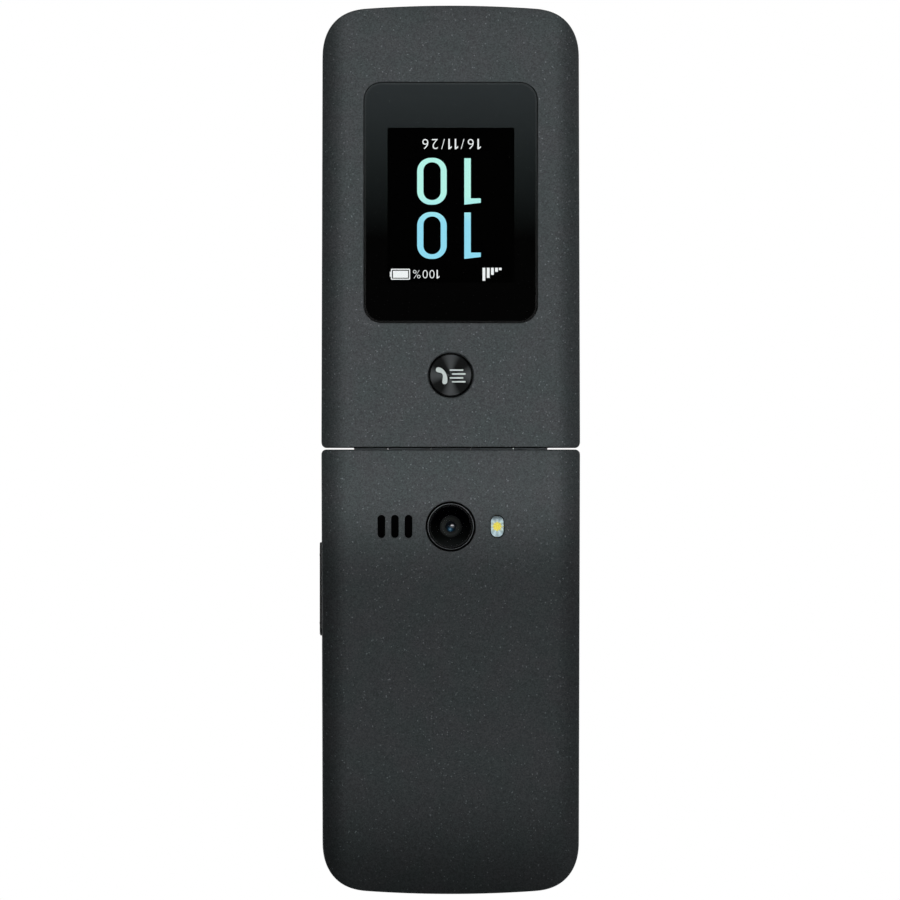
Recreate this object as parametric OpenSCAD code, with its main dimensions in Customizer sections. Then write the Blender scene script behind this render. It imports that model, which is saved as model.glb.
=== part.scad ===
// Flip phone, lying open and flat on its outer faces.
// X runs across the phone, +Y towards the far end of the lid, +Z up out of the keypad and the main
// screen. The hinge axis is parallel to X at y = 0, and both outer faces lie on z = 0.

/* [Body] */
// Width of both halves at the hinge
body_w = 57.4; // [56.6:0.1:60]
// How much narrower both halves are just before their far corners
taper = 0.5; // [0:0.1:2]
// Length of the lid, from its hinge edge to the middle of its far end
lid_len = 97.7; // [97:0.1:106]
// Length of the base, from its hinge edge to the middle of its far end
base_len = 98.4; // [98:0.1:108]
// Thickness of the lid
lid_t = 8.0; // [7.8:0.1:10]
// Thickness of the base
base_t = 10.4; // [10.2:0.1:13]
// Distance that a far corner takes up along each edge
corner_run = 10.2; // [8:0.1:12]
// Squareness of the far corners: 2 is a circle, more is squarer
corner_power = 2.45; // [2:0.05:3.2]
// Radius of the bow of the far ends
end_bow_r = 266; // [180:1:600]
// Radius of the corners beside the hinge
hinge_corner_r = 1.1; // [0.6:0.1:2]
// Distance inside the side at which the outer face starts to round off
side_run = 6.0; // [4:0.1:6.8]
// Radius of that rounding
side_r = 8.0; // [7.2:0.1:12]
// Distance inside the side at which the inner face starts to round off
rim_run = 1.2; // [0.6:0.1:1.4]
// Radius of that rounding
rim_r = 1.6; // [1.5:0.1:3]

/* [Walls and clearances] */
// Wall of the casings
wall = 1.2; // [1:0.05:1.4]
// Keypad deck of the base
deck_t = 1.0; // [0.8:0.05:1.3]
// Visible seam between the two casings of a half
seam = 0.1; // [0.08:0.01:0.2]
// Clearance between a casing and what sits inside it
fit = 0.2; // [0.15:0.01:0.3]
// Clearance around a button or key in its hole
key_play = 0.15; // [0.1:0.01:0.25]
// Depth of flush glass and rings below the face around them
flush = 0.05; // [0.03:0.01:0.15]

/* [Hinge] */
// Space between the hinge edges of the two halves
hinge_gap = 0.54; // [0.4:0.02:1]
// Space between the two inner faces when the phone is shut
closed_gap = 0.6; // [0.5:0.05:1]
// Radius of the hinge barrel
barrel_r = 4.2; // [3.9:0.05:4.5]
// Half the length of the barrel
barrel_half = 21.5; // [20:0.1:24]
// Outer end of the lid's knuckles, from the middle
knuckle_outer = 13.85; // [12.5:0.05:15]
// Inner end of the lid's knuckles, from the middle
knuckle_inner = 4.55; // [4:0.05:5.5]
// Clearance between neighbouring knuckles
knuckle_play = 0.2; // [0.14:0.02:0.4]
// Clearance between a knuckle and the other half
barrel_room = 0.3; // [0.2:0.05:0.4]
// Length of the solid block that carries the knuckles
hinge_block = 5.4; // [5.2:0.05:5.5]
// Radius of the spring cartridge and of the bush in the barrel
cartridge_r = 2.75; // [2.4:0.05:2.9]
// Radius of the cartridge's shaft
shaft_r = 1.2; // [0.8:0.05:1.5]
// Radial running clearance of the hinge
run_play = 0.08; // [0.03:0.01:0.1]

/* [Outer window] */
// Width of the outer window
window_w = 38.4; // [36:0.1:40]
// Height of the outer window
window_h = 53.3; // [48:0.1:56]
// Corner radius of the outer window
window_r = 3.4; // [1:0.1:6]
// Hinge line to the middle of the outer window
window_from_hinge = 54.6; // [53:0.1:56]
// Thickness of the outer window
window_t = 0.9; // [0.7:0.05:1]
// Width of the outer display's picture
outer_view_w = 28.03; // [24:0.01:30]
// Height of the outer display's picture
outer_view_h = 35.04; // [30:0.01:38]
// Hinge line to the middle of the outer display's picture
outer_view_from_hinge = 53.3; // [52:0.1:55]

/* [Lid button] */
// Diameter of the lid button
lid_button_d = 9.5; // [8:0.1:11]
// Gap around the lid button
lid_button_gap = 0.4; // [0.2:0.05:0.5]
// Hinge line to the middle of the lid button
lid_button_from_hinge = 16.2; // [15:0.1:18]
// Travel of the lid button
lid_button_travel = 0.3; // [0.15:0.05:0.35]

/* [Main display] */
// Side of the lid to the main window
main_side = 2.5; // [2.3:0.1:4]
// Hinge line to the near edge of the main window
main_from_hinge = 14.5; // [13:0.1:18]
// Far end of the lid to the main window
main_from_end = 10.47; // [10.4:0.01:14]
// Printed border of the main window at its sides
main_border_w = 1.9; // [1.7:0.1:4]
// Printed border of the main window at its ends
main_border_h = 4.1; // [2:0.1:8]
// Thickness of the main display
main_display_t = 2.1; // [1.8:0.05:2.2]
// Width of the earpiece slot
ear_slot_w = 9.0; // [7:0.1:11]
// Far end of the lid to the earpiece slot
ear_from_end = 6.2; // [6:0.1:6.6]

/* [Camera and flash] */
// Diameter of the camera's trim ring
camera_d = 11.0; // [9.6:0.1:11.4]
// Hinge line to the middle of the camera, speaker slots and flash
camera_from_hinge = 17.3; // [16.5:0.1:18]
// Middle of the phone to the middle of the flash
flash_from_middle = 10.3; // [9.5:0.1:11]
// Width of the flash lens
flash_w = 3.1; // [2.4:0.1:3.6]
// Length of the flash lens
flash_l = 5.1; // [4:0.1:6]

/* [Speaker] */
// Width of one speaker slot
slot_w = 1.65; // [1.2:0.05:2]
// Length of one speaker slot
slot_l = 5.1; // [4:0.1:6]
// Distance from slot to slot
slot_pitch = 3.0; // [2.6:0.05:3.2]
// Middle of the phone to the middle slot
slots_from_middle = 12.35; // [12:0.05:12.8]

/* [Keypad] */
// Side of the base to the keys
keys_side = 2.5; // [2.2:0.1:3.5]
// Far end of the base to the last row of numbers
keys_from_end = 9.37; // [9.3:0.01:12]
// Hinge line to the first row of numbers
digits_from_hinge = 46.9; // [46.6:0.1:48]
// Gap between number keys
key_gap = 1.6; // [1.2:0.1:2.4]
// Corner radius of the number keys
key_r = 2.2; // [1:0.1:3.6]
// Height of the keys above the keypad deck
key_proud = 0.2; // [0:0.05:0.3]
// Travel of a key
key_travel = 0.25; // [0.15:0.01:0.3]
// Width of the soft keys and of the call and end keys
side_key_w = 12.4; // [10:0.1:12.8]
// Height of the soft keys
soft_h = 7.4; // [6:0.1:7.8]
// Height of the call and end keys
call_h = 10.5; // [8:0.1:11]
// Width of the clear key
clear_w = 14; // [10:0.1:16]
// Height of the clear key
clear_h = 6; // [4.5:0.1:6.2]
// Gap between the four-way ring and the keys beside it
nav_gap = 1.55; // [1.4:0.05:3]
// Height of the four-way ring
nav_h = 22.5; // [20:0.1:23]
// Corner radius of the four-way ring
nav_r = 8; // [6:0.1:10]
// Diameter of the middle key
nav_ok_d = 10.4; // [9:0.1:11.4]

/* [Side key] */
// Length of the volume key
volume_l = 20.8; // [18:0.1:22]
// Height of the volume key
volume_h = 2.8; // [2:0.1:3]
// How far the volume key stands out of the side
volume_proud = 0.31; // [0.2:0.01:0.6]
// Hinge line to the middle of the volume key
volume_from_hinge = 31.3; // [30:0.1:32]

/* [Sockets] */
// Bore radius of the headset jack
jack_r = 1.75; // [1.7:0.05:1.8]
// Bore length of the headset jack
jack_l = 13; // [12:0.5:14]
// Hinge line to the middle of the headset jack
jack_from_hinge = 8.8; // [8.7:0.05:8.9]
// Outer width of the data and charging port's shell
usb_w = 8.94; // [7.5:0.01:9.2]
// Outer height of that shell
usb_h = 3.2; // [2.4:0.05:3.4]
// Depth of that shell
usb_l = 7.0; // [6:0.1:7.2]

/* [Inside] */
// Thickness of the circuit boards
board_t = 0.8; // [0.6:0.05:1]
// Thickness of the frame's plate above the battery
plate_t = 0.7; // [0.5:0.05:0.9]
// Side of the base to the battery
battery_side = 7.2; // [6.8:0.1:10]
// Hinge line to the near end of the battery
battery_from_hinge = 44.6; // [44.4:0.1:44.8]
// Diameter of the casing screws
screw_d = 1.6; // [1.4:0.1:1.8]

/* [Hidden] */
$fn = 64;

arc_n = 10;           // steps in a large curve of an outline
small_n = 5;          // steps in a small corner
past = 1;             // how far a cut runs past the face that it opens
shy = 0.01;           // keeps the corners of a fully rounded end from meeting

// Heights common to both halves
hinge_z = (base_t + lid_t + closed_gap) / 2;
rim_under_barrel = 0.5;
seam_z = hinge_z - barrel_r - barrel_room - rim_under_barrel;
edge_y = hinge_gap / 2;

// Heights in the base, from the keypad deck down
deck_z = base_t - deck_t;
key_drop = 0.1;                                   // flange below the deck
flange_t = 0.5;
flange_out = 0.4;                                 // flange past the key's own outline
flange_z = deck_z - key_drop - flange_t;
mat_t = 0.5;
mat_z = flange_z - key_travel - 0.05 - mat_t;
dome_t = 0.2;
dome_r = 2.2;
board_top = mat_z - 0.1 - dome_t;
board_z = board_top - board_t;
plate_z = board_z - plate_t;
frame_z = wall + fit;
battery_t = plate_z - frame_z - fit;

// Heights in the lid, from the inner face down
glass_room = 0.1;
main_window_t = 0.85;
ledge_t = 0.65;
main_window_z = lid_t - flush - main_window_t;
ledge_z = main_window_z - flush - ledge_t;
main_display_z = ledge_z - flush - main_display_t;
lid_board_t = 0.7;
lid_board_z = main_display_z - 0.45 - lid_board_t;
outer_display_t = 1.6;
outer_display_z = flush + window_t + flush;

// Places
far_w = body_w - taper;
lid_end_y = edge_y + lid_len;
base_end_y = -edge_y - base_len;
camera_y = -camera_from_hinge;
slots_x = slots_from_middle;
key_w = (body_w - 2 * keys_side - 2 * key_gap) / 3;
key_h = (-base_end_y - keys_from_end - digits_from_hinge - 3 * key_gap) / 4;
digit_pitch_x = key_w + key_gap;
digit_pitch_y = key_h + key_gap;
first_row_y = -digits_from_hinge - key_h / 2;
side_keys_x = body_w / 2 - keys_side - side_key_w / 2;
nav_w = 2 * (side_keys_x - side_key_w / 2 - nav_gap);
soft_y = -16.2;
call_gap = 3.0;                                   // between a soft key and the key under it
call_y = soft_y - soft_h / 2 - call_gap - call_h / 2;
nav_y = -24.2;
nav_room = 0.6;
clear_y = nav_y - nav_h / 2 - key_gap - clear_h / 2;
lid_button_y = lid_button_from_hinge;
window_y = window_from_hinge;
outer_view_y = outer_view_from_hinge;
ear_y = lid_end_y - ear_from_end;
main_window_w = body_w - 2 * main_side;
main_window_h = lid_end_y - main_from_end - main_from_hinge;
main_y = main_from_hinge + main_window_h / 2;
main_view_w = main_window_w - 2 * main_border_w;
main_view_h = main_window_h - 2 * main_border_h;
battery_w = body_w - 2 * battery_side;
usb_in = 0.5;                                     // port behind the end face
battery_l = -base_end_y - battery_from_hinge - usb_l - usb_in - fit;

// Screws: the base's go up through the frame, the lid's down through the bezel
boss_r = screw_d / 2 + 1;
head_r = screw_d * 0.875;
head_t = 0.7;
screw_grip = 1.1;             // of a base screw in its boss
base_screw_in = 8.7;          // from the side, beside the battery bay
base_end_screw_in = 10.3;     // from the side, at the far end
end_screw_in = 3.8;           // from the far end
lid_screw_in = 6.7;           // from the side, beside the hinge
lid_end_screw_in = 12.7;      // from the side, at the far end
lid_screw_y = 9.2;
base_screw_y = -battery_from_hinge + 4.1;
function corners(near_in, near_y, far_in, far_y) = [for (s = [-1, 1])
    each [[s * (body_w / 2 - near_in), near_y], [s * (body_w / 2 - far_in), far_y]]];
base_screw_xy = corners(base_screw_in, base_screw_y, base_end_screw_in, base_end_y + end_screw_in);
lid_screw_xy = corners(lid_screw_in, lid_screw_y, lid_end_screw_in, lid_end_y - end_screw_in);
bumper_r = 2.2;
bumper_t = 1.0;
bumper_proud = 0.4;
bumper_seat_z = lid_t - bumper_t - head_t - flush;

dark_paint = "#45494a";
black = "#161718";
graphite = "#2b2d2f";
steel = "#b9bcbf";
board_green = "#1f5b3a";
amber = "#c98a3a";

// ---------------------------------------------------------------- shapes in the plane

function bow(x) = x * x / (2 * end_bow_r);

// Right half of a half's outline, set in by i: hinge corner, far corner, then the bowed end.
function outline_right(len, i) =
    let (rh = max(hinge_corner_r - i, 0.3), run = corner_run - i, far_x = far_w / 2 - i)
    concat(
        [for (k = [0:small_n]) let (a = -90 + 90 * k / small_n)
            [body_w / 2 - i - rh + rh * cos(a), i + rh + rh * sin(a)]],
        [for (k = [0:arc_n]) let (a = 90 * k / arc_n, p = 2 / corner_power,
            x = far_x - run + run * pow(cos(a), p))
            [x, len - i - bow(x) - run + run * pow(sin(a), p)]],
        [for (k = [1:small_n]) let (x = (far_x - run) * (1 - k / small_n))
            [x, len - i - bow(x)]]);

function mirrored(points) =
    let (n = len(points))
    [for (k = [n - 2:-1:0]) [-points[k][0], points[k][1]]];

function outline(len, i) = concat(outline_right(len, i), mirrored(outline_right(len, i)));

// Right half of the cross-section, set in by i: soft outer edge, then the small inner edge.
function section_right(t, i) =
    let (r = side_r - i, a_end = asin(min((side_run + 0.5) / r, 0.99)),
         q_end = asin(min((rim_run + 0.5) / rim_r, 0.99)))
    concat(
        [for (k = [0:arc_n]) let (a = a_end * k / arc_n)
            [body_w / 2 - side_run + r * sin(a), side_r - r * cos(a)]],
        [for (k = [small_n:-1:0]) let (a = q_end * k / small_n)
            [body_w / 2 - rim_run + rim_r * sin(a), t - rim_r + rim_r * cos(a)]]);

function section(t, i) =
    let (right = section_right(t, i), n = len(right))
    concat(right, [for (k = [n - 1:-1:0]) [-right[k][0], right[k][1]]]);

function half_width(u) =
    (body_w - taper * u / (lid_len - corner_run)) / 2;

// Rounded rectangle about the origin
function pad(w, h, r) =
    [for (c = [[1, 1, 0], [-1, 1, 90], [-1, -1, 180], [1, -1, 270]], k = [0:small_n])
        let (a = c[2] + 90 * k / small_n)
        [c[0] * (w / 2 - r) + r * cos(a), c[1] * (h / 2 - r) + r * sin(a)]];

// ---------------------------------------------------------------- ways to place them

module raised(z0, z1) translate([0, 0, z0]) linear_extrude(z1 - z0) children();

module along_x(x0, x1) translate([x0, 0, 0]) rotate([90, 0, 90]) linear_extrude(x1 - x0) children();

module along_y(y0, y1) translate([0, y1, 0]) rotate([90, 0, 0]) linear_extrude(y1 - y0) children();

module block(x0, x1, y0, y1, z0, z1) translate([x0, y0, z0]) cube([x1 - x0, y1 - y0, z1 - z0]);

module rod_x(x0, x1, r) along_x(x0, x1) translate([0, hinge_z]) circle(r);

module round_at(xy, r, z0, z1) translate([xy[0], xy[1], z0]) cylinder(r = r, h = z1 - z0);

module pad_at(x, y, w, h, r, z0, z1) translate([x, y, 0]) raised(z0, z1) polygon(pad(w, h, r));

// One half in the lid's place: its outline cut by its cross-section, all set in by i
module half(len, t, i = 0) translate([0, edge_y, 0]) intersection() {
    raised(0, t) polygon(outline(len, i));
    along_y(-past, len + past) polygon(section(t, i));
}

module lid_half(i = 0) half(lid_len, lid_t, i);

module base_half(i = 0) mirror([0, 1, 0]) half(base_len, base_t, i);

// Everything between two heights, for cutting a half at its seam
module slab(z0, z1) block(-body_w, body_w, -2 * base_len, 2 * lid_len, z0, z1);

// Everything on the lid's side, or the base's side, of the block that carries the knuckles
module beyond_block(side) mirror([0, side > 0 ? 0 : 1, 0])
    block(-body_w, body_w, edge_y + hinge_block, 2 * lid_len, -past, base_t + past);

// ---------------------------------------------------------------- hinge barrel

// x ranges of the knuckles that belong to the lid and to the base
lid_knuckles = [[-knuckle_outer, -knuckle_inner], [knuckle_inner, knuckle_outer]];
base_knuckles = [[-barrel_half, -knuckle_outer - knuckle_play],
    [-knuckle_inner + knuckle_play, knuckle_inner - knuckle_play],
    [knuckle_outer + knuckle_play, barrel_half]];
cap_t = 0.8;
bore_r = cartridge_r + run_play;
cartridge_in = (knuckle_inner + knuckle_outer) / 2 + 0.4;
shaft_short = 2;                                  // shaft's end to the cartridge's end
bush_wall = 0.8;

module knuckles(spans) for (s = spans) rod_x(s[0], s[1], barrel_r);

// Room that the other half's knuckles turn in
module knuckle_cut(spans)
    for (s = spans) rod_x(s[0] - knuckle_play, s[1] + knuckle_play, barrel_r + barrel_room);

module barrel_bore() rod_x(-barrel_half + cap_t, barrel_half - cap_t, bore_r);

module hinge_cartridge() color(steel) difference() {
    rod_x(cartridge_in, barrel_half - cap_t - fit, cartridge_r);
    rod_x(cartridge_in - past, barrel_half - cap_t - fit - shaft_short / 2, shaft_r + run_play);
}

module hinge_cam() color(steel) union() {
    rod_x(knuckle_inner + knuckle_play, cartridge_in - fit, cartridge_r);
    rod_x(cartridge_in - 2 * fit, barrel_half - cap_t - fit - shaft_short, shaft_r);
}

module hinge_bush() color(steel) difference() {
    rod_x(-barrel_half + cap_t + fit, -cartridge_in, cartridge_r);
    rod_x(-barrel_half, -cartridge_in + past, cartridge_r - bush_wall);
}

flex_t = 0.15;
flex_w = 5.6;
flex_y = edge_y + hinge_block + 0.6;
flex_z = hinge_z - 0.6;
flex_coil_r = 2.1;

// Up from the main board, into the middle knuckle, then round in a coil
module base_flex() color(amber) {
    block(-flex_w / 2, flex_w / 2, -flex_y - flex_t, -flex_y, board_top, flex_z);
    block(-flex_w / 2, flex_w / 2, -flex_y, 0.2 - flex_coil_r, flex_z - flex_t, flex_z);
    difference() {
        rod_x(-flex_w / 2, flex_w / 2, flex_coil_r);
        rod_x(-flex_w, flex_w, flex_coil_r - flex_t);
    }
}

lid_flex_x = -(knuckle_inner + cartridge_in) / 2;
lid_flex_w = 2.6;
lid_flex_y = 1.2;
lid_flex_z = seam_z + 0.5;

// Down out of the barrel, through the block, then down to the lid board
module lid_flex_path(grow) {
    x0 = lid_flex_x - lid_flex_w / 2 - grow;
    x1 = lid_flex_x + lid_flex_w / 2 + grow;
    y1 = flex_y + 0.6;
    block(x0, x1, lid_flex_y - grow, lid_flex_y + flex_t + grow, lid_flex_z - grow, hinge_z - 1.4 + grow);
    block(x0, x1, lid_flex_y - grow, y1 + flex_t, lid_flex_z - grow, lid_flex_z + flex_t + grow);
    block(x0, x1, y1, y1 + flex_t, lid_board_z + lid_board_t, lid_flex_z + flex_t);
}

module lid_flex() color(amber) lid_flex_path(0);

// ---------------------------------------------------------------- base: casings and frame

rear_seam_z = seam_z - seam;

module slots(grow) for (k = [-1:1])
    pad_at(slots_x + k * slot_pitch, camera_y, slot_w + 2 * grow, slot_l + 2 * grow,
        slot_w / 2 + grow - shy, -past, wall + past);

module rear_cover() color(dark_paint) difference() {
    intersection() {
        base_half();
        slab(0, rear_seam_z);
    }
    intersection() {
        base_half(wall);
        slab(wall, seam_z + past);
    }
    slots(0);
    round_at([0, camera_y], camera_d / 2 + flush, -past, wall + past);
    pad_at(-flash_from_middle, camera_y, flash_w + 2 * flush, flash_l + 2 * flush, flash_w / 2,
        -past, wall + past);
    knuckle_cut(lid_knuckles);
}

module usb_space(grow, y0, y1)
    along_y(y0, y1) translate([0, usb_z])
        polygon(pad(usb_w + 2 * grow, usb_h + 2 * grow, usb_h / 2 + grow - end_flat));

end_flat = 0.1;                                   // half the flat left at a rounded end
usb_z = (seam_z + deck_z) / 2;
jack_z = seam_z + 0.3 + jack_r;
jack_body = 2 * jack_r + 0.8;
jack_back = 1;                                    // of the body behind its bore
jack_y = -jack_from_hinge;
jack_x = -half_width(jack_from_hinge) + wall + fit;
volume_z = seam_z + 0.25 + flange_out + volume_h / 2;
volume_y = -volume_from_hinge;
volume_x = half_width(volume_from_hinge);
mic_xy = [9.5, base_end_y + 4];
mic_hole_r = 0.5;

module volume_outline(grow)
    translate([volume_y, volume_z])
        polygon(pad(volume_l + 2 * grow, volume_h + 2 * grow, volume_h / 2 + grow - end_flat));

// Room for the volume key and its switches, from x0 out through the side
module volume_bay(x0) along_x(x0, body_w) translate([volume_y, volume_z])
    square([volume_l + 4, volume_h + 3], center = true);

module keypad_housing() color(graphite) difference() {
    union() {
        difference() {
            intersection() {
                base_half();
                slab(seam_z, base_t);
            }
            intersection() {
                base_half(wall);
                beyond_block(-1);
                slab(-past, deck_z);
            }
            knuckle_cut(lid_knuckles);
        }
        for (p = base_screw_xy) round_at(p, boss_r, board_top, deck_z + deck_t / 2);
        knuckles(base_knuckles);
    }
    barrel_bore();
    block(-flex_w / 2 - fit, flex_w / 2 + fit, -flex_y, 0, flex_z - flex_t - fit, flex_z + fit);
    for (p = base_screw_xy) round_at(p, screw_d / 2 + flush, board_z, board_top + screw_grip + 0.2);
    for (k = number_keys) key_hole(k[1], k[2], key_w, key_h, key_r);
    for (k = side_keys) key_hole(k[1], k[2], k[3], k[4], k[5]);
    key_hole(0, nav_y, nav_w, nav_h, nav_r);
    usb_space(0.3, base_end_y - past, base_end_y + 2 * wall + 1);
    along_x(-body_w, jack_x + past) translate([jack_y, jack_z]) circle(jack_r + fit);
    along_x(volume_x - 2 * wall, body_w) volume_outline(key_play);
    round_at(mic_xy, mic_hole_r, deck_z - past, base_t + past);
}

module screw_seats(z0, z1) for (p = base_screw_xy) {
    round_at(p, screw_d / 2 + fit, z0 - past, z1 + past);
    round_at(p, head_r + fit, z0 - past, screw_head_z + head_t);
}

screw_head_z = frame_z + 1.2;
motor_r = 4;
motor_t = 2.8;
motor_xy = [motor_r + 2.9 - body_w / 2, -30.5];
socket_apart = 2.2;                               // between the two card sockets
socket_w = -motor_xy[0] - motor_r - 1.7 - socket_apart / 2;
socket_l = 10.5;
socket_t = 1.4;
socket_x = (socket_apart + socket_w) / 2;
socket_y = -31.8;
contact_w = 8;
contact_l = 2.4;
contact_x = 10.5;
contact_y = (socket_y - socket_l / 2 + -battery_from_hinge) / 2;
can_w = 12;
can_l = 10.5;
can_t = 1.6;
can_x = can_w / 2 + 3.1 - body_w / 2;
mic_w = 3;
mic_l = 2;
mic_t = 1;
speaker_w = 13;
speaker_l = 11;
speaker_t = 3.6;
camera_box = 8.5;
camera_seat_z = frame_z + 1.2;
trim_w = 0.7;                                     // ring on show, and its flange inside
led_w = 2.0;
led_t = 0.6;
volume_inner = volume_x - wall - fit - flush;
volume_flange = 0.5;
switch_play = 0.17;                               // volume key to its switches
switch_in = 1.6;
switch_w = 3;
switch_h = 2;
switch_x = volume_inner - volume_flange - switch_play;
volume_bay_x = switch_x - switch_in - fit;

module mid_frame() color("#33363a") difference() {
    intersection() {
        base_half(wall + fit);
        slab(frame_z, board_z);
        beyond_block(-1);
    }
    // battery bay, open towards the rear cover
    block(-battery_w / 2 - fit, battery_w / 2 + fit, -battery_from_hinge - battery_l - fit,
        -battery_from_hinge + fit, 0, plate_z);
    // pockets, with their clearances, for what hangs under the board
    block(-socket_x - socket_w / 2 - fit, socket_x + socket_w / 2 + fit, socket_y - socket_l / 2 - fit,
        socket_y + socket_l / 2 + fit, 0, board_z + past);
    block(contact_x - contact_w / 2 - 2 * fit, contact_x + contact_w / 2 + 2 * fit,
        contact_y - contact_l / 2 - 2 * fit, contact_y + contact_l / 2 + 2 * fit, 0, board_z + past);
    round_at(motor_xy, motor_r + fit, board_z - motor_t - fit, board_z + past);
    block(can_x - can_w / 2 - fit, can_x + can_w / 2 + fit, camera_y - can_l / 2 - fit,
        camera_y + can_l / 2 + fit, board_z - can_t - fit, board_z + past);
    pad_at(slots_x, camera_y, speaker_w + 2 * fit, speaker_l + 2 * fit, 1.2, 0, frame_z + speaker_t + fit);
    block(-camera_box / 2 - fit, camera_box / 2 + fit, camera_y - camera_box / 2 - fit,
        camera_y + camera_box / 2 + fit, camera_seat_z, board_z + past);
    round_at([0, camera_y], camera_d / 2 + trim_w + fit, 0, camera_seat_z);
    block(-flash_from_middle - led_w / 2 - fit, -flash_from_middle + led_w / 2 + fit,
        camera_y - led_w / 2 - fit, camera_y + led_w / 2 + fit, 0, frame_z + led_t);
    volume_bay(volume_bay_x - fit);
    block(jack_x - past, jack_x + jack_l + jack_back + fit, jack_y - jack_body / 2 - fit,
        jack_y + jack_body, jack_z - jack_body / 2 - fit, board_z + past);
    usb_space(fit, base_end_y - past, base_end_y + usb_in + usb_l + fit);
    screw_seats(frame_z, board_z);
}

module battery() color("#3c3f44")
    translate([0, -battery_from_hinge - battery_l / 2, 0]) along_y(-battery_l / 2, battery_l / 2)
        translate([0, frame_z + battery_t / 2]) polygon(pad(battery_w, battery_t, 1));

module main_board() color(board_green) difference() {
    intersection() {
        base_half(wall + fit + 0.2);
        slab(board_z, board_top);
        mirror([0, 1, 0]) block(-body_w, body_w, edge_y + hinge_block + 0.4, 2 * lid_len, 0, base_t);
    }
    block(-body_w, jack_x + jack_l + jack_back + 2 * fit, jack_y - jack_body / 2 - fit, 0, 0, base_t);
    usb_space(fit, base_end_y - past, base_end_y + usb_in + usb_l + fit);
    volume_bay(volume_bay_x);
    for (p = base_screw_xy) round_at(p, screw_d / 2 + fit, 0, base_t);
}

// Parts soldered to the main board: card sockets, battery contacts, shield can, microphone
module board_parts() color(steel) {
    for (s = [-1, 1])
        block(s * socket_x - socket_w / 2, s * socket_x + socket_w / 2, socket_y - socket_l / 2,
            socket_y + socket_l / 2, board_z - socket_t, board_z);
    block(contact_x - contact_w / 2, contact_x + contact_w / 2, contact_y - contact_l / 2,
        contact_y + contact_l / 2, frame_z + 2, board_z);
    block(can_x - can_w / 2, can_x + can_w / 2, camera_y - can_l / 2, camera_y + can_l / 2,
        board_z - can_t, board_z);
    translate([mic_xy[0] - mic_w / 2, mic_xy[1] - mic_l / 2, board_top]) cube([mic_w, mic_l, mic_t]);
}

module loudspeaker() color(black)
    pad_at(slots_x, camera_y, speaker_w, speaker_l, 1, frame_z, frame_z + speaker_t);

module speaker_mesh() color("#303234")
    pad_at(slots_x, camera_y, 2 * (slot_pitch + mesh_lap) + slot_w, slot_l + 2 * mesh_lap, mesh_lap,
        wall, wall + mesh_t);

module camera_trim() color("#8d9194") difference() {
    union() {
        round_at([0, camera_y], camera_d / 2, flush, frame_z);
        round_at([0, camera_y], camera_d / 2 + trim_w, wall + 0.02, frame_z);
    }
    round_at([0, camera_y], camera_d / 2 - trim_w, 0, glass_seat_z);
    round_at([0, camera_y], camera_d / 2 - 2 * trim_w, 0, frame_z + past);
}

glass_seat_z = wall - 0.3;
glass_in = 0.15;                                  // behind the outer face

module camera_glass() color("#101113", 0.5)
    round_at([0, camera_y], camera_d / 2 - trim_w - flush, glass_in, glass_seat_z - 0.02);

module camera_module() color(black) {
    block(-camera_box / 2, camera_box / 2, camera_y - camera_box / 2, camera_y + camera_box / 2,
        camera_seat_z + 0.1, board_z);
    round_at([0, camera_y], camera_d / 2 - 2 * trim_w - 0.8, wall + 0.1, camera_seat_z + 0.1);
}

module flash_lens() color("#e9e6d8", 0.6)
    pad_at(-flash_from_middle, camera_y, flash_w, flash_l, flash_w / 2 - shy, flush, wall);

module flash_led() color("#e6c23a")
    block(-flash_from_middle - led_w / 2, -flash_from_middle + led_w / 2, camera_y - led_w / 2,
        camera_y + led_w / 2, wall + 0.05, frame_z + led_t);

usb_shell = 0.3;
usb_tongue_t = 0.7;
usb_tongue_side = 1.1;

module usb_port() color(steel) {
    y0 = base_end_y + usb_in;
    y1 = y0 + usb_l;
    difference() {
        usb_space(0, y0, y1);
        usb_space(-usb_shell, y0 - past, y1 - usb_shell);
    }
    translate([0, 0, usb_z]) block(usb_tongue_side - usb_w / 2, usb_w / 2 - usb_tongue_side, y0 + 1.2,
        y1 - usb_shell / 2, -usb_tongue_t / 2, usb_tongue_t / 2);
}

module headset_jack() color(black) difference() {
    along_x(jack_x, jack_x + jack_l + jack_back) translate([jack_y, jack_z])
        square(jack_body, center = true);
    along_x(jack_x - past, jack_x + jack_l) translate([jack_y, jack_z]) circle(jack_r);
}

module volume_key() color(graphite) {
    along_x(volume_inner - volume_flange, volume_x + volume_proud) volume_outline(0);
    along_x(volume_inner - volume_flange, volume_inner) volume_outline(flange_out);
}

module volume_switches() color(steel) for (s = [-1, 1])
    block(volume_bay_x, switch_x, volume_y + s * volume_l / 3 - switch_w / 2,
        volume_y + s * volume_l / 3 + switch_w / 2, volume_z - switch_h / 2, volume_z + switch_h / 2);

module vibration_motor() color(steel) round_at(motor_xy, motor_r, board_z - motor_t, board_z);

module base_screws() color(steel) for (p = base_screw_xy) {
    round_at(p, head_r, screw_head_z, screw_head_z + head_t);
    round_at(p, screw_d / 2, screw_head_z, board_top + screw_grip);
}

// ---------------------------------------------------------------- base: keypad

// name, x, y
number_names = ["key_1", "key_2", "key_3", "key_4", "key_5", "key_6", "key_7", "key_8", "key_9",
    "key_star", "key_0", "key_hash"];
number_keys = [for (k = [0:11])
    [number_names[k], (k % 3 - 1) * digit_pitch_x, first_row_y - floor(k / 3) * digit_pitch_y]];
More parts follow.
